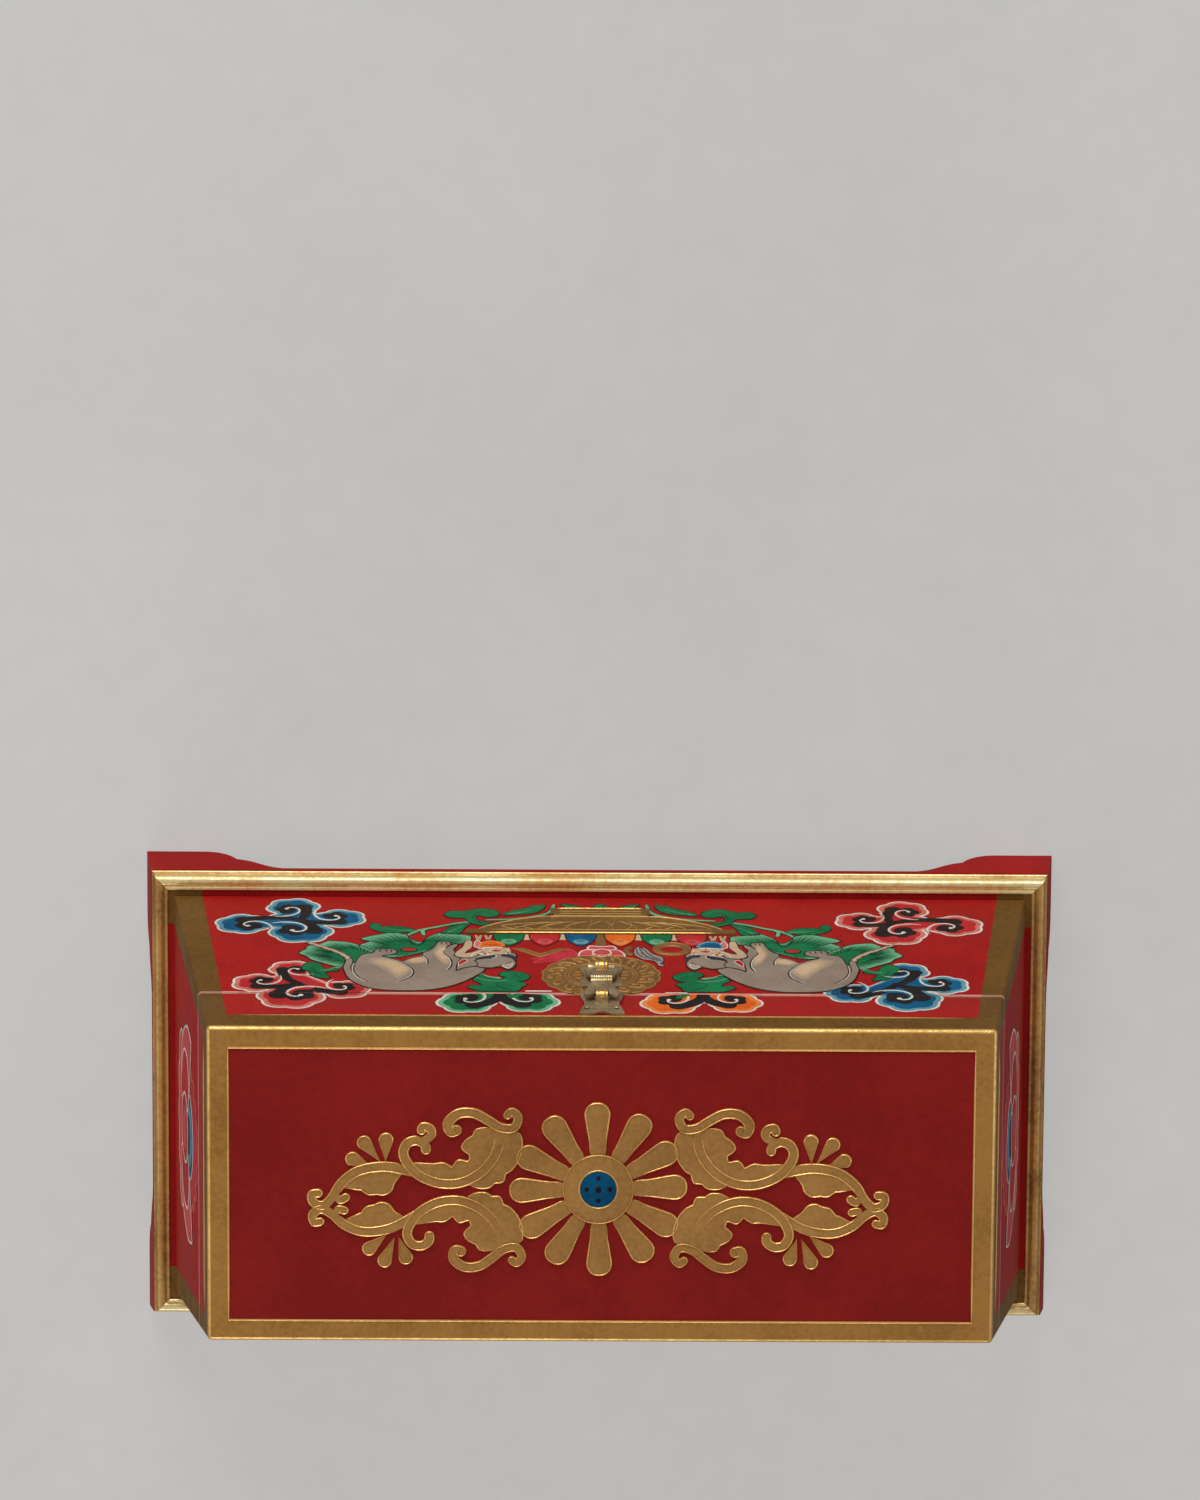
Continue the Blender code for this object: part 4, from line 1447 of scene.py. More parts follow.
            group = bent if stem in (self.OUTER_STEM, self.END_CURL) else shapes
            group.append((self.band(flowing(stem, closed=False), wide, tip), rank))
        shapes += [([(outer @ point.to_3d()).to_2d() for point in outline], rank) for outline, rank in bent]
        self.gilt(work, shapes)
        if across * along < 0:
            bmesh.ops.reverse_faces(work.mesh, faces=work.mesh.faces)
        work.settle(Body.LID, Slot.GILDING)


@dataclass(frozen=True)
class Cloud:
    """A curling cloud: scalloped lobes round a hub, each with its edge curling in to a white volute.

    A lobe is its middle, its radius and the way that its volute winds, 1 to the left and -1 to the right.
    """

    name: str
    hub: tuple[float, float]
    lobes: tuple[tuple[float, float, float, int], ...]
    pale: Finish
    deep: Finish
    feet: tuple[tuple[float, float], ...] = ()
    arm: float = 1.5
    bow: float = 0.24

    HEART, HEART_OUT = 0.50, 0.25
    ROOT, ROOT_OUT = 0.30, 0.36
    HUB = 1.15
    CURL, CURL_TURN = 0.95, 5.4
    EDGE, EYE = 0.042, 0.075
    CRESCENT = slice(2, 20)

    def curl(self, work: Ornament, lobe: tuple[float, float, float, int], level: float) -> None:
        """Lay one lobe's dark heart, its arm to the hub and its volute.

        Args:
            work: The ornament that it belongs to.
            lobe: The lobe.
            level: Its layer.
        """
        x, z, radius, way = lobe
        middle, hub = Vector((x, z)), Vector(self.hub)
        aim = math.atan2(hub.y - z, hub.x - x)
        heart = middle + self.HEART_OUT * radius * heading(aim - way * math.radians(45))
        work.sheet(scalloped(heart, self.HEART * radius, 5, 0.1 * radius, aim), INK, level)
        root = middle + self.ROOT_OUT * radius * heading(aim + way * math.radians(80))
        wide = self.ROOT * radius
        bow = root.lerp(hub, 0.5) + self.bow * way * (hub - root).orthogonal()
        shares = [step / 10 for step in range(11)]
        path = [root.lerp(bow, share).lerp(bow.lerp(hub, share), share) for share in shares]
        left, right = ribbon(path, wide, self.arm, ease=0.5)
        work.sheet(left + right[::-1], INK, level + 0.1)
        work.sheet(ellipse(root, (wide, wide), 24), INK, level + 0.12)
        work.sheet(ellipse(hub, (self.HUB * self.arm, self.HUB * self.arm), 20), INK, level + 0.15)
        curl = spiral(heart, self.CURL * radius, aim - way * math.radians(52), way * self.CURL_TURN)
        crescent = curl[self.CRESCENT]
        for finish, outer, inner, rise in ((self.pale, 1.0, 0.66, 0.5), (self.deep, 0.84, 0.62, 0.7)):
            band = scaled(crescent, heart, outer) + scaled(crescent[::-1], heart, inner)
            work.sheet(band, finish, level + rise)
        work.trail(curl, WHITE, self.EDGE * radius, level + 1.6, tip=0.9)
        work.sheet(ellipse(curl[-3], (self.EYE * radius, self.EYE * radius), 16), WHITE, level + 1.8)

    def build(self, sizes: CaseSizes, joint_gap: float) -> None:
        """Lay the cloud in nested bands from its white edge to its dark hearts.

        Args:
            sizes: Sizes of the case.
            joint_gap: Opening left where the cloud crosses the joint.
        """
        work = Ornament(self.name, sizes.face(Side.FRONT))
        hub = Vector(self.hub)
        corners = [Vector(lobe[:2]) for lobe in self.lobes] + [Vector(foot) for foot in self.feet]
        corners.sort(key=lambda corner: math.atan2(corner.y - hub.y, corner.x - hub.x))
        for layer, (finish, inset) in enumerate(((WHITE, 0.0), (self.pale, 0.95), (self.deep, 2.8))):
            level = 1.0 + layer
            work.sheet(scaled(corners, hub, 1.0 - 0.075 * inset), finish, level)
            for count, (x, z, radius, _) in enumerate(self.lobes):
                aim = math.atan2(hub.y - z, hub.x - x)
                edge = scalloped((x, z), radius - inset, 6, 0.11 * radius, aim)
                work.sheet(edge, finish, level + 0.1 * (count + 1))
        for count, lobe in enumerate(self.lobes):
            self.curl(work, lobe, 4.0 + 0.02 * count)
        heights = [z + way * radius for _, z, radius, _ in self.lobes for way in (-1, 1)]
        joint = sizes.drawn(sizes.joint)
        if self.feet:
            work.settle_across(joint, joint_gap, bodies=(Body.LID,))
        elif min(heights) < joint < max(heights):
            work.settle_across(joint, joint_gap)
        else:
            work.settle(Body.CARCASS)


@dataclass
class FrontPainting:
    """The front's picture: a bowl of jewels between two mongooses, with foliage and clouds."""

    sizes: CaseSizes
    joint_gap: float = 0.8
    ink: float = 0.30

    BODY = (
        (-42.8, 102.3), (-46, 110), (-51.5, 117.5), (-58, 122.8), (-65.5, 125.5), (-73.5, 125.9),
        (-81.5, 124.7), (-87.3, 121.2), (-91.7, 115.3), (-94, 108.5), (-94.6, 101.5), (-93.4, 96),
        (-91, 97), (-89.8, 91.5), (-88, 87.5), (-84.5, 86), (-83.5, 82.5), (-80.2, 81.7), (-76.4, 82.5),
        (-75.6, 85.5), (-77.2, 87.7), (-81, 89.3), (-76.8, 92.3), (-73.2, 94.9, 1), (-70, 91.5),
        (-66.4, 89.5), (-66, 86), (-63.2, 82.5), (-61.5, 77.5), (-60.4, 73.7), (-56.4, 73.9),
        (-55.8, 76.7), (-57.6, 80.4, 1), (-55.2, 76.6), (-53.4, 76), (-53.2, 78), (-54.6, 82),
        (-53.4, 86.5), (-52, 91.5), (-50, 97.5),
    )
    TAIL = (
        (-91.6, 111.5), (-93.6, 102.5), (-93, 95.5), (-94.2, 90.5), (-98, 85), (-103.5, 80), (-108, 76),
        (-110.2, 74),
    )
    CREAM_PATCHES = (
        ((-74, 100), ((-74.6, 115), (-70.4, 109.6), (-69.4, 105.6), (-71, 100.6), (-74.2, 95.8),
         (-77.6, 92.6), (-82.6, 89.6), (-87.2, 91), (-87, 96), (-82.6, 102), (-78.6, 109))),
        ((-67.9, 93.6), ((-73, 95.5), (-69.6, 98.4), (-63.4, 96.2), (-63.6, 91.2), (-66.4, 89.6),
         (-70.4, 91.4))),
        ((-58.6, 87.5), ((-59.2, 97.4), (-55.8, 100.6), (-55.3, 92.7), (-57.8, 87), (-58.6, 82.5),
         (-57, 75), (-60.2, 74.3), (-61.6, 79.4), (-62.6, 86.5))),
    )
    BODY_LINES = (
        ((-74.5, 117), (-70, 111.5), (-68.9, 106), (-70.5, 101), (-73.5, 96.5), (-75.8, 94)),
        ((-85.5, 117), (-89.2, 111.5), (-91, 104.5), (-90.6, 97)),
        ((-56.5, 104.5), (-55, 98.5), (-55.8, 91.5), (-58, 86.5), (-58.5, 83.5)),
        ((-63.8, 97.5), (-64.2, 92.5), (-66.2, 88.6)), ((-82.2, 84.8), (-81.6, 82.2)),
        ((-79.8, 84.6), (-79.4, 82)), ((-77.8, 85), (-77.6, 82.6)), ((-59.4, 76.6), (-59, 74.2)),
        ((-57.6, 76.6), (-57.4, 74.2)),
    )
    JAW = (
        (-54.3, 88.4), (-52.6, 90.8), (-49.8, 91.6), (-46.6, 90.2), (-44.2, 86.4), (-44.4, 83),
        (-46.2, 83.6), (-48.2, 85.8), (-50.4, 86.6, 1), (-49.4, 83.6), (-48, 81), (-47.4, 78.2),
        (-47.6, 74.4), (-48.6, 72.5), (-50.4, 73.2), (-51, 77.2), (-51.6, 80.4), (-53.4, 84.4),
    )
    MOUTH = (
        (-50.4, 86.6, 1), (-48.2, 86), (-46, 84), (-44.2, 82.4), (-43.6, 80.6), (-44.6, 78.6), (-46, 77),
        (-46.9, 73.8), (-47.8, 74.6), (-47.8, 78.4), (-48.4, 81.4), (-49.6, 84),
    )
    TONGUE = ((-47, 79.6), (-45.2, 80.4), (-44.4, 77.6), (-45, 74.4), (-46, 72.8), (-46.9, 75))
    WHISKERS = (
        ((-48.2, 90.6), (-47.4, 87.4), (-45.2, 84.8), (-43.7, 82.6), (-43.2, 80.8)),
        ((-34.2, 85.2), (-34.5, 82.6), (-34, 80.4)), ((-41.6, 85), (-40.7, 83.2), (-40.5, 81.4)),
    )
    HEAD = (
        (-53.3, 104.9, 1), (-50.5, 102), (-46.5, 100.3), (-44, 101.5), (-40.8, 101.9), (-37.5, 100.3),
        (-35.8, 102), (-34, 103.7, 1), (-32, 100.5), (-31.4, 96), (-32.2, 92.5), (-31.2, 89), (-32, 86),
        (-34, 85), (-34.4, 81.3), (-37.5, 79.5), (-41.8, 80.9), (-45.6, 80.3), (-47.6, 82.9), (-47, 85.5),
        (-49.5, 87.5), (-51.5, 91.5), (-53, 97.5),
    )
    EAR = ((-52.3, 99.9), (-50.7, 97.6), (-49.4, 95.2), (-49.9, 93.2), (-51.4, 93.6), (-52.6, 96.6))
    FAR_EAR = ((-34.1, 102.4), (-32.9, 99.6), (-32.8, 97.2), (-34.6, 98.4), (-36.4, 99.4), (-35.6, 101.2))
    BROWS = (
        ((-46.8, 95.4), (-45.6, 93.5), (-43.4, 92.3), (-40.8, 91.8), (-39.2, 90.4), (-39.6, 88.3),
         (-41, 89.2), (-43.4, 90.1), (-45.8, 91.6)),
        ((-36.7, 89.6), (-35, 90.2), (-33.2, 91.6), (-31.6, 94.2), (-31.4, 91.4), (-32.6, 89.2),
         (-34.6, 87.9), (-36.4, 87.8)),
    )
    BROW_EDGES = (
        ((-46, 91.1), (-43.4, 89.6), (-41, 88.7), (-39.4, 87.8)), ((-36.6, 87.4), (-34.6, 87.4)),
        ((-40.6, 92.3), (-38.8, 90.8), (-39, 88.4)),
    )
    MUZZLE = (
        (-46.4, 88.4), (-43.4, 86.2), (-40.6, 88.2), (-38.2, 87.4), (-36.2, 87.4), (-33.4, 85.4),
        (-34.2, 81.4), (-36.4, 80.4), (-40.4, 80.6), (-43.6, 81.2), (-45.8, 82.6), (-48.2, 85.4),
    )
    EYES = ((-43.1, 87.5, 2.1, 1.05), (-34.5, 86.6, 1.2, 0.75))
    NOSE = (
        (-40.9, 83.2), (-40.1, 84.5), (-38.9, 84.9), (-37.6, 84.5), (-36.9, 83.1), (-38, 83.5),
        (-38.9, 82.8), (-39.9, 83.5),
    )
    FACE_LINES = (
        ((-46, 100.2), (-45.5, 97.4), (-46.5, 94.8)), ((-37.6, 99.8), (-35.2, 98.2), (-33, 95.4)),
        ((-38.9, 82.4), (-38.9, 80.8)), ((-48.9, 91.6), (-50.6, 91.4)),
    )
    BLUSHES = (
        ((-45.8, 89.4), (-45.5, 87.4)), ((-41.7, 86.6), (-41, 85.4)), ((-44.6, 86), (-42.6, 85.4)),
        ((-36, 85.6), (-33.4, 85)),
    )
    LIP = ((-45.8, 82.2), (-43.4, 81), (-40, 80.5), (-36, 80.7))
    MOUTH_JEWEL = (
        (-45.3, 79.8), (-40.5, 80.2), (-36, 79.5), (-36, 76.8), (-38.2, 74), (-41.2, 73), (-44.2, 75),
    )
    JEWEL_LINE = ((-43.6, 78.6), (-42, 77.4), (-40.4, 78.2), (-38.4, 77.2))
    CLAWS = (
        ((-45.6, 72.4), (-46.7, 66.4)), ((-45.4, 72.4), (-44.6, 66.4)), ((-42.2, 72), (-43.1, 66.4)),
        ((-41.8, 72), (-40.8, 66.4)),
    )

    LEFT_FAN = (
        (-90, 99.5), (-97, 100.8), (-102.5, 97, 1), (-107, 93.5), (-109, 89.8, 1), (-112, 86.5),
        (-109.5, 82.2, 1), (-109, 79), (-104, 76, 1), (-101, 73), (-95, 74, 1), (-91.5, 76), (-86, 81.5),
        (-84, 88),
    )
    MIDDLE_FAN = (
        (-86, 84.5), (-90, 78.5), (-86, 73.5, 1), (-89.5, 70.5), (-85, 66.8, 1), (-78, 63.8),
        (-72.5, 65.8, 1), (-70, 71.5), (-67, 73.6), (-64.6, 68.5, 1), (-60, 63.6), (-54.6, 65, 1),
        (-48.5, 67), (-48.6, 73.5, 1), (-52, 75.5), (-57, 76), (-61, 79.5), (-67, 85.5), (-77, 90.5),
    )
    FAN_ROOTS = ((-88, 91), (-69, 84))
    FAN_EYE = (-71.2, 82.6)
    LEAVES = (
        ((-69, 62), (-77, 64.3), (-83, 62.5), (-86.5, 58), (-85.8, 53.8), (-83.2, 53.8), (-82, 57, 1),
         (-77, 56.4), (-72.5, 58)),
        ((-59.5, 64.5), (-53, 64.5), (-51, 58.5), (-48.7, 52.6), (-55, 55.3), (-57.7, 59.5)),
        ((-37.2, 43.5), (-31, 43.2), (-24.5, 40.9), (-21.5, 36.5), (-20.8, 32), (-25.5, 33.1),
         (-28.7, 36.1), (-34, 39.1)),
        ((-6.6, 36.6), (-10.5, 36.8), (-13.5, 34.2), (-14.7, 30.8), (-9.5, 32.3)),
    )
    LEAF_VEINS = (
        ((-70, 61.2), (-77, 60.4), (-83.6, 57)), ((-57.6, 63.2), (-54, 59), (-49.4, 53.6)),
        ((-35.6, 42.6), (-28.5, 39.4), (-21.8, 33.2)), ((-7.4, 36), (-11, 34.6), (-14, 31.6)),
    )
    CLUMP = (
        (-37.5, 54.4), (-44, 55.4), (-49, 52.5), (-51, 47.7), (-56.5, 46.9), (-59, 43), (-56.5, 39.3),
        (-51.5, 39.8, 1), (-49.5, 38.2), (-45, 36.3), (-39.5, 38.3), (-38.1, 43.5), (-42, 46.2),
        (-46, 44, 1), (-46.7, 48.5), (-43, 51.5),
    )
    STEMS = (
        ((-72.5, 67), (-68, 61), (-61, 57), (-54, 53), (-48.5, 51.2)),
        ((-66, 66), (-66.6, 61.5), (-65, 59)),
        ((-43.5, 49), (-36, 48.5), (-28, 46.5), (-21.5, 43), (-18.5, 38.5), (-17.5, 31)),
    )
    CLUSTER = (
        (-29, 121.5), (-30.5, 125.3), (-36, 125.9, 1), (-40, 125.7), (-45, 125.4), (-49, 122),
        (-48, 119.5, 1), (-44, 119.4), (-45, 117), (-47.2, 114), (-44.3, 108.7), (-42, 111),
        (-37.5, 113.2), (-35, 111.5, 1), (-37.7, 108.5), (-36, 105.3), (-31, 104.8), (-26.3, 109),
        (-27.3, 113.7), (-30.4, 115.3, 1), (-27.2, 118.3),
    )
    SPRIG = (
        (-99.4, 112.4), (-102.7, 112.9), (-106, 110.7), (-107.7, 105.5, 1), (-110.4, 102.5),
        (-108.7, 96.8), (-105, 96.5), (-102.8, 100, 1), (-101.5, 103), (-97.6, 102.3), (-96.6, 104.9),
        (-101.3, 107),
    )
    CLUMP_LINES = (
        ((-40.5, 53.6), (-46.4, 51.4), (-48.6, 46), (-53, 43.4)), ((-48, 47), (-46.4, 41.4), (-41.8, 40.4)),
        ((-33, 124.4), (-37.4, 121), (-38.4, 117), (-33.4, 115.8)), ((-29, 112.4), (-32.2, 108)),
        ((-101.6, 110.4), (-104.8, 106.8), (-106.4, 100.6)),
    )
    LEAF_TIP = ((0, 128.7), (1.6, 131.6), (4.8, 133.2), (4.4, 130.4), (3.2, 128.7))
    TWIGS = (
        ((-48, 108.8), (-44, 113.4), (-38.6, 115.2), (-33, 114)),
        ((-46, 106.4), (-41.6, 110.6), (-36.6, 111.9)), ((-96, 100.4), (-100.6, 104), (-104.4, 104.6)),
    )

    JEWEL = (
        (-34, 77.4), (-30.7, 74.2), (-28.5, 69), (-28.2, 63.5, 1), (-39.8, 63.5, 1), (-39.4, 69.5),
        (-37.2, 74.4),
    )
    JEWEL_PLACES = (-34.0, -20.9, -7.3, 7.4, 20.9, 34.3)
    BOWL_SIDE = ((-46.5, 61, 1), (-41.5, 56), (-33, 50.4), (-24, 46.9), (-18, 45.7, 1))
    BOWL_BANDS = ((60.4, 64.6, 50.4), (43.2, 46.2, 17.8), (37, 43.4, 18.8))
    BOWL_LINES = (
        (64.2, 50.4, 0.42), (61, 49, 0.22), (46, 22, 0.34), (43.3, 18.6, 0.22), (40.8, 18.9, 0.22),
        (37.4, 18.9, 0.38),
    )
    TASSEL = (
        (-22.6, 98.8), (-21, 97.8), (-20.5, 95.2), (-19.1, 92.6), (-15.5, 91.3), (-13.2, 88),
        (-12.2, 84.8), (-12.6, 79.6), (-14.2, 77.6, 1), (-15, 79.4), (-16.1, 78, 1), (-17.8, 81.5),
        (-19.4, 85.4), (-22.3, 88), (-23.3, 90.6), (-23, 93.9), (-22, 95.8), (-23.3, 97.1),
    )
    CORAL = (
        (10, 82.5), (9, 86.5), (13.4, 90.3), (15, 93), (19, 94), (24.8, 95.9, 1), (24, 93.2),
        (21, 91.9, 1), (25.7, 91.2, 1), (22, 88.8), (21, 86.3), (17, 85.3), (15, 82.3), (12, 80.8),
    )
    LOTUS_PETALS = (
        ((-8.8, 89.6, 1), (-5.4, 88.6), (-3.2, 86.4), (-2.6, 82.6), (-4.4, 80.9), (-7, 82.2),
         (-8.6, 85.4)),
        ((8.2, 89.8, 1), (4.8, 88.6), (2.6, 86.2), (2.2, 82.6), (3.6, 80.7), (6.6, 82.2), (8, 85.4)),
        ((-5.3, 81.2), (-0.3, 81.6), (4.5, 81.2), (4, 77.5), (-0.3, 78), (-4.6, 77.5)),
        ((-0.4, 88.9), (2, 87), (3, 84.6), (2, 82.2), (-0.4, 81), (-2.8, 82.2), (-3.8, 84.6), (-2.8, 87)),
    )
    MEDALLION = (0.0, 109.3)
    MEDALLION_RADIUS = 22.3
    FLAME = ((14.2, -1.6), (16.4, -1.3), (18.6, 0.3), (19.6, 2.4), (18.2, 3.2), (17.4, 2))
    SPARK = ((14.4, 1), (15.8, 1.6), (16.4, 3))
    MIDDLE_LEAF = ((-3.4, 36.6), (0, 37), (3.4, 36.6), (2.4, 32.6), (0, 29.6, 1), (-2.4, 32.6))

    def face(self) -> Matrix:
        """Place of the front's drawing."""
        return self.sizes.face(Side.FRONT)

    def mongoose(self, side: str, jewel: tuple[Finish, Finish]) -> None:
        """One crouching mongoose with a jewel in its mouth.

        Args:
            side: Left or right.
            jewel: Deep and pale finish of the jewel.
        """
        work = Ornament("mongoose_" + side, self.face(), lift=0.22, mirrored=side == "right")
        tail = flowing(self.TAIL, closed=False)
        work.outlined(self.BODY, FUR, INK, self.ink, 2)
        work.trail(tail, INK, 1.95, 3.4, tip=0.5)
        work.trail(tail, FUR, 1.6, 4.2, tip=0.5)
        work.trail(tail[len(tail) // 3:], CREAM, 0.8, 4.9, tip=0.5)
        for place in range(len(tail) // 3, len(tail) - 1, 2):
            along = (tail[place + 1] - tail[place - 1]).normalized()
            way = 1 if place % 4 < 2 else -1
            aside = along.orthogonal() * (2.3 - 1.3 * place / len(tail)) * way
            work.trail([tail[place] + aside, tail[place] + 0.1 * aside - 0.7 * along], INK, 0.42, 5.6)
        for middle, patch in self.CREAM_PATCHES:
            for step, tone in enumerate(FUR_STEPS):
                work.sheet(flowing(scaled(patch, middle, 1.0 - 0.13 * step)), tone, 2.6 + 0.3 * step)
        work.ridges(self.BODY_LINES, INK, self.ink, 4.6, 0.5)
        work.ridges(([(x - 0.55, z) for x, z in line] for line in self.BODY_LINES[:4]), WHITE, 0.2, 4.4, 0.5)
        work.outlined(self.HEAD, FUR, INK, self.ink, 5)
        work.outlined(self.JAW, FUR_STEPS[3], INK, 0.24, 6.7)
        work.shape(self.MOUTH, MAROON, 8.4)
        work.outlined(self.TONGUE, PINK, WHITE, 0.24, 8.6)
        work.outlined(self.EAR, CRIMSON, WHITE, 0.18, 7)
        work.outlined(self.FAR_EAR, FUR_PALE, WHITE, 0.18, 7)
        work.shape(self.MUZZLE, FUR_STEPS[3], 7.9)
        work.ridges(self.FACE_LINES, INK, 0.2, 8.6)
        work.ridges(self.WHISKERS, WHITE, 0.26, 9.4, 0.6)
        for x, z, wide, high in self.EYES:
            work.sheet(ellipse((x, z), (wide, high), 20), WHITE, 8.8)
            work.sheet(ellipse((x + 0.1, z), (0.85 * high, 0.85 * high), 16), ORANGE, 9.2)
            work.sheet(ellipse((x + 0.2, z), (0.4 * high, 0.4 * high), 12), INK, 9.6)
        work.ridges(self.BLUSHES, CRIMSON, 0.26, 9.4)
        for brow in self.BROWS:
            work.shape(brow, SLATE, 9.6)
        work.ridges(self.BROW_EDGES, WHITE, 0.2, 10.4)
        work.shape(self.NOSE, CRIMSON, 9.0)
        work.ridge(self.LIP, WHITE, 0.45, 11)
        work.shape(self.MOUTH_JEWEL, jewel[1], 10)
        work.sheet(scaled(flowing(self.MOUTH_JEWEL), (-42.4, 79.4), 0.8), jewel[0], 10.6)
        work.ridge(self.JEWEL_LINE, INK, 0.18, 11.4)
        work.ridges(self.CLAWS, CREAM, 0.62, 8, 0.6)
        work.ridges(self.CLAWS, INK, 0.14, 9.2, 0.4)
        work.settle(Body.CARCASS)

    def fan(self, work: Ornament, outline: Path, root: Point, level: float) -> None:
        """A fan of foliage, dark at its root and pale at its scalloped edge, with fine ribs.

        Args:
            work: The ornament that it belongs to.
            outline: Points round it.
            root: Where its ribs start.
            level: Its layer.
        """
        edge = flowing(outline)
        for step, tone in enumerate(LEAF_STEPS):
            work.sheet(scaled(edge, root, 1.0 - 0.09 * step), tone, level + 0.25 * step)
        work.trail(edge, INK, 0.3, level + 1, closed=True)
        start = Vector(root)
        for point in edge[::2]:
            reach = point - start
            if reach.length > 6:
                rib = [start + reach * share for share in (0.46, 0.60, 0.76, 0.93)]
                work.trail(rib, GREEN_DEEP, 0.27, level + 2.4, tip=0.7)

    def foliage(self, side: str) -> None:
        """The foliage on one side: fans, leaves and stems.

        Args:
            side: Left or right.
        """
        work = Ornament("foliage_" + side, self.face(), lift=0.10, mirrored=side == "right")
        work.ridges(self.STEMS, GREEN_DEEP, 1.25, 1.6)
        work.ridges(self.STEMS, GREEN_PALE, 0.95, 2.4)
        for leaf, vein in zip(self.LEAVES, self.LEAF_VEINS):
            work.outlined(leaf, GREEN, INK, 0.2, 2)
            work.ridge(vein, GREEN_PALE, 0.55, 3.2, tip=0.3)
            work.ridge(vein, INK, 0.16, 4, tip=0.4)
        for outline, root in zip((self.LEFT_FAN, self.MIDDLE_FAN), self.FAN_ROOTS):
            self.fan(work, outline, root, 2)
        work.sheet(ellipse(self.FAN_EYE, (3.3, 2.2), 24), GREEN_DEEP, 6.4)
        work.sheet(ellipse(self.FAN_EYE, (2.7, 1.6), 24), CRIMSON, 6.8)
        work.ridges(self.TWIGS, GREEN_PALE, 0.95, 1.8)
        for clump in (self.CLUMP, self.CLUSTER, self.SPRIG):
            work.outlined(clump, GREEN, INK, 0.26, 2.2)
        work.ridges(self.CLUMP_LINES, INK, 0.26, 3.6, 0.4)
        work.settle(Body.CARCASS)

    def bowl(self) -> None:
        """The gilt bowl with its fluted side, rim and foot."""
        work = Ornament("jewel_bowl", self.face())
        side = flowing(self.BOWL_SIDE, closed=False)
        across = [Vector((-point.x, point.y)) for point in reversed(side)]
        work.sheet(side + across, GILT_SHADE, height=0.55, soften=0.15)
        for low, high, half in self.BOWL_BANDS:
            corners = ((-half, low), (half, low), (half, high), (-half, high))
            work.sheet(corners, GILT_SHADE, height=0.75, soften=0.15)
        for level, half, width in self.BOWL_LINES:
            line = [Vector((half * share / 8, level)) for share in range(-8, 9)]
            work.trail(line, GILT_BRIGHT, width, height=1.0)
        for edge in (side, across):
            work.trail(edge, GILT_BRIGHT, 0.32, height=0.9)
        for flute in range(-4, 5):
            top, waist, foot = flute * 9.4, flute * 8.084, flute * 4.6
            lean = [(top - 4.2, 60.2), (waist - 4.4, 56), (foot - 1.4, 49.6 + abs(flute) * 0.5)]
            rise = [(2 * waist - x, z) for x, z in lean[:2]] + lean[2:]
            for path in (lean, rise):
                on_bowl = [(x, z) for x, z in path if abs(x) < 45.5 - (60.5 - z) * 0.9]
                if len(on_bowl) > 1:
                    work.ridge(on_bowl, GILT_BRIGHT, 0.2, height=0.74)
        work.settle(Body.CARCASS, Slot.GILDING)

    def jewels(self) -> None:
        """The row of jewels in the bowl, on a cream ground, with the stalk of the lotus."""
        work = Ornament("bowl_jewels", self.face(), lift=0.04)
        work.sheet(((-40, 63), (40, 63), (39, 70.5), (-39, 70.5)), CREAM, 1)
        work.sheet(((-2.2, 63), (2.4, 63), (1.6, 78), (-1.6, 78)), GILT_DULL, 2)
        red, green = (CRIMSON, ROSE), (GREEN, GREEN_PALE)
        tones = (red, green, (ORANGE, ORANGE_PALE), (BLUE, BLUE_PALE), red, green)
        for place, (deep, pale) in zip(self.JEWEL_PLACES, tones):
            shift = Vector((place - self.JEWEL_PLACES[0], 0))
            outline = [point + shift for point in flowing(self.JEWEL)]
            top = Vector((place, 72.6))
            work.sheet(outline, deep, 3)
            work.sheet(ellipse(top, (2.9, 2.7), 24), pale, 3.6)
            work.trail(outline, INK, 0.26, 4.2, closed=True)
            for drop, half in ((0.1, 1.5), (-1.4, 2.2)):
                bend = ((share, drop + 0.55 * share * share) for share in (-1, -0.5, 0, 0.5, 1))
                work.trail([top + Vector((half * share, rise)) for share, rise in bend], INK, 0.17, 5)
            for glint in (((-0.9, 1.5), (-0.4, 1.6)), ((0.4, 1.6), (0.9, 1.5))):
                work.trail([top + Vector(point) for point in glint], INK, 0.16, 5)
        work.settle(Body.CARCASS)

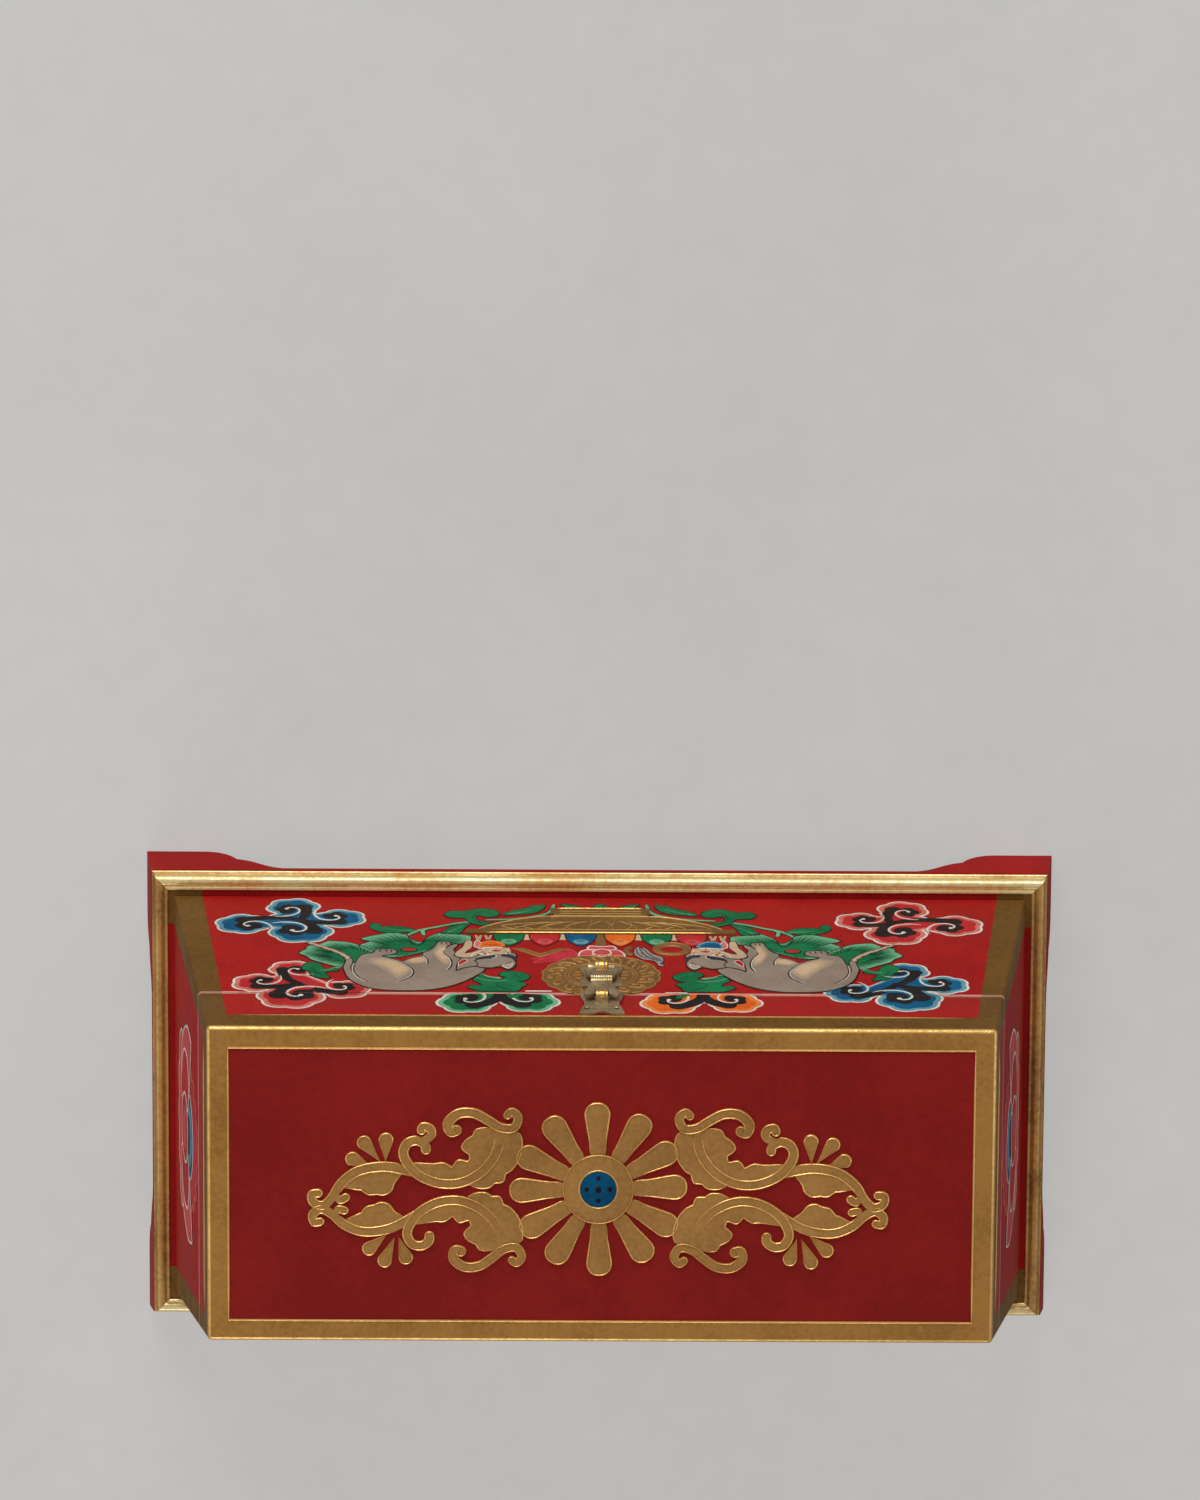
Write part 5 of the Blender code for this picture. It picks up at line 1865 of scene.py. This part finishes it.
    def treasures(self) -> None:
        """What stands behind the jewels: lotus, grey tassel, coral and two gilt links."""
        work = Ornament("treasures", self.face(), lift=0.02)
        for count, petal in enumerate(self.LOTUS_PETALS):
            work.outlined(petal, ROSE, WHITE, 0.40, 2 + 1.7 * count)
        work.outlined(self.TASSEL, SMOKE, INK, 0.24, 2)
        for share in (0.25, 0.55, 0.85):
            line = [(-22.8 + 2.0 * share, 93.4), (-22.4 + 4.6 * share, 90.6), (-20.8 + 6.6 * share, 88.2),
                    (-19.0 + 6.4 * share, 84.6), (-17.6 + 5.0 * share, 81.4), (-15.8 + 3.0 * share, 79.2)]
            work.ridge(line, INK, 0.26, 3.4)
        work.outlined(self.CORAL, CORAL, ROSE, 0.22, 2)
        for x, z in ((12.4, 86.0), (15.0, 88.4), (17.6, 91.6), (19.4, 88.4), (13.6, 83.6), (21.4, 93.4)):
            work.sheet(ellipse((x, z), (0.5, 0.5), 10), CRIMSON, 3.4)
        work.settle(Body.CARCASS)
        links = Ornament("gilt_links", self.face())
        links.trail(ellipse((-26.4, 80.4), (5.6, 5.0), 40), GILT_DULL, 1.5, height=0.6, closed=True)
        links.trail(ellipse((-26.4, 80.4), (6.9, 6.3), 40), GILT, 0.24, height=0.62, closed=True)
        for reach, finish, width in ((8.6, GILT_DULL, 1.1), (9.9, GILT, 0.24), (7.3, GILT, 0.24)):
            corners = [(22.4 + 1.15 * reach * way, 79.4 + reach * (way == 0), 1) for way in (-1, 0, 1)]
            links.ridge(corners, finish, width, height=0.6)
        links.ridge(((-12.2, 86.0), (-9.8, 84.4), (-9.6, 81.0), (-11.4, 78.0)), GILT_DULL, 1.2, height=0.6)
        links.settle(Body.CARCASS, Slot.GILDING)

    def medallion(self) -> None:
        """The gilt medallion behind the clasp, with curling flames round a beaded ring."""
        work = Ornament("medallion", self.face())
        middle, radius = self.MEDALLION, self.MEDALLION_RADIUS
        # The ground between the raised flames and rings is a darker gold: painted shade between the relief.
        work.sheet(scalloped(middle, radius, 18, 0.8), GILT_DULL, height=0.32, soften=0.12)
        work.trail(scalloped(middle, radius - 0.5, 18, 0.8), GILT, 0.45, height=0.6, closed=True)
        for ring in (13.2, 11.9, 5.2):
            work.trail(ellipse(middle, (ring, ring), 56), GILT, 0.38, height=0.6, closed=True)
        for flame in range(16):
            turn = Matrix.Rotation(math.tau * flame / 16, 2)
            for path, width in ((self.FLAME, 0.675), (self.SPARK, 0.567)):
                line = [Vector(middle) + turn @ point for point in flowing(path, closed=False, steps=4)]
                work.trail(line, GILT, width, height=0.85)
            bead = Vector(middle) + turn @ Vector((8.6, 0.0))
            work.sheet(ellipse(bead, (1.9, 0.75), 14), GILT, height=0.7, soften=0.2)
        work.settle_across(self.sizes.drawn(self.sizes.joint), self.joint_gap, Slot.GILDING)

    def clouds(self) -> None:
        """The six clouds."""
        for cloud in (
                Cloud("cloud_high_left", (-108, 117), ((-112, 132.3, 12.8, -1), (-91, 126, 10.2, -1),
                      (-125.5, 117, 9.8, 1), (-112.5, 102.8, 9.0, 1)), BLUE_PALE, BLUE),
                Cloud("cloud_high_right", (111, 118.5), ((113, 132, 13.0, 1), (93.5, 124.5, 9.8, 1),
                      (126, 118, 9.8, -1), (114, 103, 8.8, -1)), PINK, CRIMSON),
                Cloud("cloud_low_left", (-109.5, 50.5), ((-110.5, 62.6, 12.2, 1), (-133.2, 53, 11.4, -1),
                      (-97.6, 48.5, 9.8, -1), (-114.5, 36, 10.2, -1)), PINK, CRIMSON),
                Cloud("cloud_low_right", (113, 50.0), ((112, 63, 12.6, -1), (134, 54.5, 11.2, 1),
                      (98, 48, 10.4, 1), (116, 36, 10.6, 1)), BLUE_PALE, BLUE),
                Cloud("cloud_top_left", (-37, 129.2), ((-48.5, 136.6, 10.4, 1), (-25, 137.4, 11.4, -1)),
                      ORANGE_PALE, ORANGE, feet=((-57.5, 122.0), (-15.0, 122.0)), arm=2.1, bow=0.3),
                Cloud("cloud_top_right", (37, 129.2), ((26, 136.4, 11.2, 1), (49, 137.2, 11.4, -1)),
                      GREEN_PALE, GREEN, feet=((14.6, 122.0), (58.5, 122.0)), arm=2.1, bow=0.3)):
            cloud.build(self.sizes, self.joint_gap)

    def build(self) -> None:
        """Make the whole picture."""
        self.clouds()
        for side, jewel in (("left", (BLUE, BLUE_PALE)), ("right", (ORANGE, ORANGE_PALE))):
            self.foliage(side)
            self.mongoose(side, jewel)
        middle_leaf = Ornament("middle_leaf", self.face())
        middle_leaf.outlined(self.MIDDLE_LEAF, GREEN, INK, 0.2, 2)
        middle_leaf.settle(Body.CARCASS)
        tips = Ornament("leaf_tips", self.face())
        for x in (-32.0, 28.6):
            tips.shape([(x + across, z) for across, z in self.LEAF_TIP], GREEN, 7)
        tips.settle(Body.LID)
        feet = Ornament("cloud_feet", self.face())
        for left, right, level, finish, width in (
                (17.4, 28.6, 125, WHITE, 0.75), (30, 48, 126.2, GREEN, 0.5),
                (-32, -22.6, 126.2, WHITE, 0.5)):
            feet.ridge(((left, level), (right, level)), finish, width)
        feet.settle(Body.CARCASS)
        self.treasures()
        self.jewels()
        self.bowl()
        self.medallion()


@dataclass
class EndPainting:
    """The lotus with a flaming jewel on each end of the case."""

    sizes: CaseSizes
    line: float = 0.55

    FLAME = (
        (-22, 86), (-27, 96), (-23.5, 99, 1), (-24, 107), (-18.6, 108.4, 1), (-18, 116), (-12, 115.6, 1),
        (-9, 121.6), (-5, 119.6, 1), (0, 126.6, 1),
    )
    DOME = ((-16.5, 85, 1), (-15.6, 93), (-10, 101), (0, 105))
    PETALS = (
        ((-13, 88), (-26, 96), (-38, 101, 1), (-40.5, 84), (-34, 66), (-20, 58), (-9, 66)),
        ((-9, 86), (-20, 90), (-29, 84, 1), (-29.5, 72), (-22, 62), (-10, 60)),
        ((0, 87), (-10, 83), (-13, 74), (-9, 65), (0, 62)),
    )
    SKIRT = ((-33, 62), (-30, 51), (-20, 50, 1), (-16, 45.6), (-6, 47.6, 1), (0, 44))

    def mirrored(self, half: Path) -> list[Point]:
        """A half outline with its other half, meeting at the middle line."""
        return list(half) + [(-point[0], *point[1:]) for point in reversed(half[:-1])]

    def build(self) -> None:
        """Paint both ends."""
        for side in (Side.RIGHT, Side.LEFT):
            work = Ornament(side.value + "_lotus", self.sizes.face(side))
            flame = self.mirrored(self.FLAME)
            work.outlined(flame, CRIMSON, PINK, 0.4, 1)
            work.sheet(scaled(flowing(flame), (0.0, 92.0), 0.78), CORAL, 2)
            dome = self.mirrored(self.DOME)
            work.outlined(dome, BLUE, WHITE, 0.4, 3)
            for share, finish in ((0.74, BLUE_PALE), (0.46, BLUE)):
                work.sheet(scaled(flowing(dome), (0.0, 86.0), share), finish, 4 - share)
            skirt = self.mirrored(self.SKIRT)
            work.outlined(skirt + [(12.0, 66.0), (-12.0, 66.0)], ROSE, WHITE, self.line, 5)
            for count, petal in enumerate(self.PETALS[:2]):
                for way in (1, -1):
                    outline = [(way * x, *rest) for x, *rest in petal]
                    work.outlined(outline, CRIMSON if count else ROSE, WHITE, self.line, 7 + 2 * count)
            heart = self.mirrored(self.PETALS[2])[:-1]
            work.outlined(heart, CRIMSON, WHITE, self.line, 11)
            work.sheet(scaled(flowing(heart), (0.0, 74.0), 0.6), ROSE, 11.6)
            work.settle(Body.CARCASS)


# Metalwork


@dataclass
class Metalwork:
    """The brass clasp, the hinges and their fixings."""

    sizes: CaseSizes
    knuckle: Triple = (-19.0, 3.4, 2.7)
    catch: Triple = (10.5, 3.14, 2.3)
    ribs: tuple[float, float] = (12.5, 16.0)
    rib_out: float = 0.95
    bead: float = 0.72
    bead_step: float = 0.86
    soften: float = 0.00016

    def seat(self) -> Matrix:
        """Place of the clasp's drawing: millimetres across, up the slope from the joint, and out."""
        half = self.sizes.half(self.sizes.joint)
        turn = Matrix.Rotation(math.pi / 2 - math.atan(self.sizes.splay), 4, "X")
        return Matrix.Translation((0, -half.y, self.sizes.joint)) @ turn @ Matrix.Scale(MM, 4)

    def build(self) -> None:
        """Soften every brass node and add the clasp's raised work."""
        for body, nodes in frame["record"]["behaviour"]["bodies"].items():
            for node in nodes:
                if node.startswith(("clasp", "hinge")):
                    finish = BRASS if node.startswith("clasp") else BRASS_BRIGHT
                    cast = softened(node, self.soften)
                    dressed(node + "_cast", cast, (finish,), Body(body), Slot.BRASS, [node])
        self.curl_bands("knuckle_bands", Body.CARCASS, self.knuckle, 230.0)
        self.curl_bands("catch_bands", Body.LID, self.catch, 200.0)
        self.beads()

    def curl_bands(self, name: str, body: Body, curl: Triple, turn: float) -> None:
        """Raise a broad band and two borders round a rolled strip.

        Args:
            name: Name of the piece.
            body: The body that carries the strip.
            curl: How high above the joint and how far out its middle lies, and its radius.
            turn: How far the bands go round, in degrees, from the strip's root.
        """
        work = Ornament(name, self.seat())
        rise, out, radius = curl
        for middle, wide in ((-1.75, 0.4), (0.0, 1.0), (1.75, 0.4)):
            chains = []
            for across, lift in ((-wide, -0.1), (0.16 - wide, 0.2), (wide - 0.16, 0.2), (wide, -0.1)):
                reach = radius + lift
                turns = (heading(math.radians(84 - turn * step / 20)) for step in range(21))
                chains.append([Vector((middle + across, rise + reach * way.y, out + reach * way.x))
                               for way in turns])
            # The bands' bright amber tone is painted reflection on the rolled strips.
            work.keep(sweep(chains, ring=False, weld=0.001), BRASS_AMBER)
        work.settle(body, Slot.BRASS)

    def beads(self) -> None:
        """Row the beads along the hasp's two ribs."""
        hasp = Ornament("hasp_beads", self.seat())
        rise, out, _ = self.knuckle
        for rib in self.ribs:
            for count in range(-4, 5):
                bead = bmesh.new()
                bmesh.ops.create_uvsphere(bead, u_segments=12, v_segments=8, radius=self.bead)
                place = (self.bead_step * count, rise + rib, out + self.rib_out)
                bmesh.ops.translate(bead, vec=place, verts=bead.verts)
                hasp.keep(bead, BRASS_BRIGHT)
        hasp.settle(Body.HASP, Slot.BRASS)


@dataclass
class PlainWood:
    """The bottom board and the glue blocks, as they left the saw."""

    sizes: CaseSizes
    soften: float = 0.0004

    def build(self) -> None:
        """Soften the wooden nodes."""
        for node in frame["record"]["behaviour"]["bodies"][Body.CARCASS.value]:
            if node.startswith(("base_board", "foot_block")):
                sawn = softened(node, self.soften)
                dressed(node + "_sawn", sawn, (INSIDE_WOOD,), Body.CARCASS, Slot.WOOD, [node])


# Finishes of this box

GILT = Gilding("aged_gilding", srgb(196, 142, 72), srgb(166, 117, 57), 0.35, 0.40)
GILT_DULL = Gilding("dull_gilding", srgb(146, 106, 54), srgb(116, 82, 39), 0.30, 0.45)
GILT_SHADE = Gilding("shaded_gilding", srgb(132, 94, 40), srgb(108, 74, 30), 0.30, 0.45)
# Lit and shaded copies of the moulding's gold: painted highlight on the long runs, painted shade on the end
# runs.
GILT_MOULDING_LIT = Gilding("moulding_gilding", srgb(255, 236, 180), srgb(226, 180, 110), 0.45, 0.34)
GILT_MOULDING_SHADED = Gilding("end_moulding_gilding", srgb(206, 160, 92), srgb(148, 104, 50), 0.50, 0.40)
# A lighter gold for raised lines, beads and the lid's arrises: burnishing and painted highlight.
GILT_BRIGHT = Gilding("burnished_gilding", srgb(232, 186, 108), srgb(204, 154, 80), 0.55, 0.28)
RED = CaseLacquer("plain_lacquer", srgb(178, 28, 24), srgb(160, 21, 20), srgb(222, 158, 148), GILT,
                  GILT_SHADE)
BRASS = Brass("cast_brass", srgb(196, 174, 136), srgb(136, 114, 82), 0.42, 0.00022, 0.75)
# A bright amber brass for the curl bands: painted reflection.
BRASS_AMBER = Brass("amber_brass", srgb(240, 186, 98), srgb(206, 140, 60), 0.20, 0.00003, 0.8)
BRASS_BRIGHT = Brass("rubbed_brass", srgb(232, 208, 152), srgb(198, 158, 92), 0.14, 0.00003)
INSIDE_WOOD = Timber("inside_wood", srgb(198, 154, 106), srgb(162, 116, 72), (0.05, 1.0, 1.0))
END_WOOD = Timber("end_board_wood", INSIDE_WOOD.light, INSIDE_WOOD.dark, (1.0, 0.05, 1.0))
WHITE = Paint("white_paint", srgb(238, 232, 222), srgb(214, 204, 190))
INK = Paint("black_ink", srgb(40, 36, 37), srgb(24, 21, 22), 0.45)
BLUE = Paint("blue_paint", srgb(14, 100, 144), srgb(8, 76, 113))
BLUE_PALE = Paint("pale_blue_paint", srgb(112, 164, 176), srgb(86, 142, 158))
CRIMSON = Paint("crimson_paint", srgb(204, 50, 50), srgb(180, 37, 40))
PINK = Paint("pink_paint", srgb(222, 132, 116), srgb(204, 106, 94))
ROSE = Paint("rose_paint", srgb(222, 92, 92), srgb(202, 70, 74))
CORAL = Paint("coral_paint", srgb(206, 58, 72), srgb(184, 42, 56))
ORANGE = Paint("orange_paint", srgb(240, 116, 36), srgb(220, 92, 24))
ORANGE_PALE = Paint("pale_orange_paint", srgb(244, 150, 80), srgb(232, 124, 56))
GREEN = Paint("green_paint", srgb(26, 128, 78), srgb(14, 102, 60))
GREEN_PALE = Paint("pale_green_paint", srgb(128, 190, 148), srgb(98, 166, 122))
GREEN_DEEP = Paint("deep_green_paint", srgb(14, 66, 42), srgb(8, 48, 32))
FUR = Paint("fur_paint", srgb(160, 142, 126), srgb(144, 126, 110))
FUR_PALE = Paint("pale_fur_paint", srgb(186, 160, 132), srgb(172, 146, 120))
CREAM = Paint("cream_paint", srgb(220, 190, 152), srgb(204, 172, 134))
SMOKE = Paint("smoke_paint", srgb(176, 164, 156), srgb(150, 138, 132))
SLATE = Paint("slate_paint", srgb(58, 62, 74), srgb(38, 40, 50))
MAROON = Paint("maroon_paint", srgb(146, 24, 32), srgb(120, 16, 24))
FUR_STEPS = between(FUR, CREAM, 5)
LEAF_STEPS = between(GREEN_PALE, GREEN, 5)


# Stage


@dataclass(frozen=True)
class Floor(Finish):
    """A plain pale studio floor that runs into the backdrop's tone far from the case."""

    shade: Colour
    glow: float = 1.02
    far: float = 0.55
    reach: tuple[float, float] = (0.9, 2.4)

    def dress(self, surface: Surface) -> None:
        """Leave the floor matt, with hardly any mottling."""
        black, backdrop = (0.0, 0.0, 0.0, 1.0), (self.far, self.far, self.far, 1.0)
        tone = self.mottled(surface, 6.0)
        seen = surface.add("ShaderNodeLightPath", {}).outputs["Is Camera Ray"]
        length = surface.add("ShaderNodeVectorMath", {0: surface.place}, operation="LENGTH").outputs
        away = surface.fade(length["Value"], *self.reach)
        surface.set(Base_Color=surface.blend(seen, tone["Color"], surface.blend(away, self.shade, black)),
                    Roughness=0.8, Specular_IOR_Level=0.0, Emission_Strength=self.glow,
                    Emission_Color=surface.blend(seen, black, surface.blend(away, tone["Color"], backdrop)))


PALE_FLOOR = Floor("pale_floor", srgb(172, 171, 169), srgb(168, 167, 165), srgb(140, 139, 137))


@dataclass
class Studio:
    """Camera, floor and soft light."""

    sizes: CaseSizes
    place: Triple = (0.0186, -0.5523, 2.4031)
    turn: Triple = (-9.969, -0.377, -179.638)
    lens: float = 152.85
    floor_half: float = 6.0
    sky: float = 0.16
    gloss: float = 0.54
    backdrop: float = 0.56

    def lamp(self, name: str, place: Point, size: float, watts: float) -> None:
        """A square soft lamp that faces the middle of the case.

        Args:
            name: The lamp's name.
            place: Where it stands.
            size: Its side.
            watts: Its power.
        """
        light = bpy.data.lights.new(name, "AREA")
        light.size = size
        light.energy = watts
        lamp = bpy.data.objects.new(name, light)
        lamp.location = place
        aim = Vector((0, 0, self.sizes.joint / 2)) - Vector(place)
        lamp.rotation_euler = aim.to_track_quat("-Z", "Y").to_euler()
        bpy.context.scene.collection.objects.link(lamp)

    def build(self) -> None:
        """Set the stage."""
        scene = bpy.context.scene
        scene.view_settings.view_transform = "Standard"
        camera = bpy.data.objects.new("camera", bpy.data.cameras.new("camera"))
        camera.location = self.place
        camera.rotation_euler = [math.radians(angle) for angle in self.turn]
        camera.data.lens = self.lens
        scene.collection.objects.link(camera)
        scene.camera = camera

        bm = bmesh.new()
        bmesh.ops.create_grid(bm, x_segments=1, y_segments=1, size=self.floor_half)
        mesh = bpy.data.meshes.new("floor")
        bm.to_mesh(mesh)
        bm.free()
        mesh.materials.append(PALE_FLOOR.material())
        floor = bpy.data.objects.new("floor", mesh)
        scene.collection.objects.link(floor)

        world = bpy.data.worlds.new("studio")
        world.use_nodes = True
        tree = Tree(world.node_tree)
        rays = tree.add("ShaderNodeLightPath", {}).outputs
        seen = tree.sum("MAXIMUM", rays["Is Glossy Ray"], rays["Is Transmission Ray"])
        strength = tree.weigh(rays["Is Camera Ray"], tree.weigh(seen, self.sky, self.gloss), self.backdrop)
        background = world.node_tree.nodes["Background"]
        background.inputs["Color"].default_value = (1.0, 0.99, 0.97, 1.0)
        tree.feed(background.inputs["Strength"], strength)
        scene.world = world
        self.lamp("key", (0.84, -4.56, 1.20), 3.5, 192.0)
        self.lamp("fill_left", (-4.56, -0.48, 1.32), 3.4, 35.0)
        self.lamp("fill_right", (4.56, 0.48, 1.32), 3.4, 32.0)
        self.lamp("fill_back", (1.20, 4.56, 1.68), 3.4, 92.0)


def main() -> None:
    """Build the box's pieces in order."""
    logging.basicConfig(level=logging.INFO, format="%(name)s %(message)s")
    sizes = CaseSizes.measure()
    case = Case(sizes)
    case.build()
    case.build_lines()
    BaseMoulding(sizes, case.finish("wall_lacquer", 0.0)).build()
    for kind in (Plinth, PlainWood, Metalwork, LidRosette, FrontPainting, EndPainting, Studio):
        kind(sizes).build()


if __name__ == "__main__":
    main()
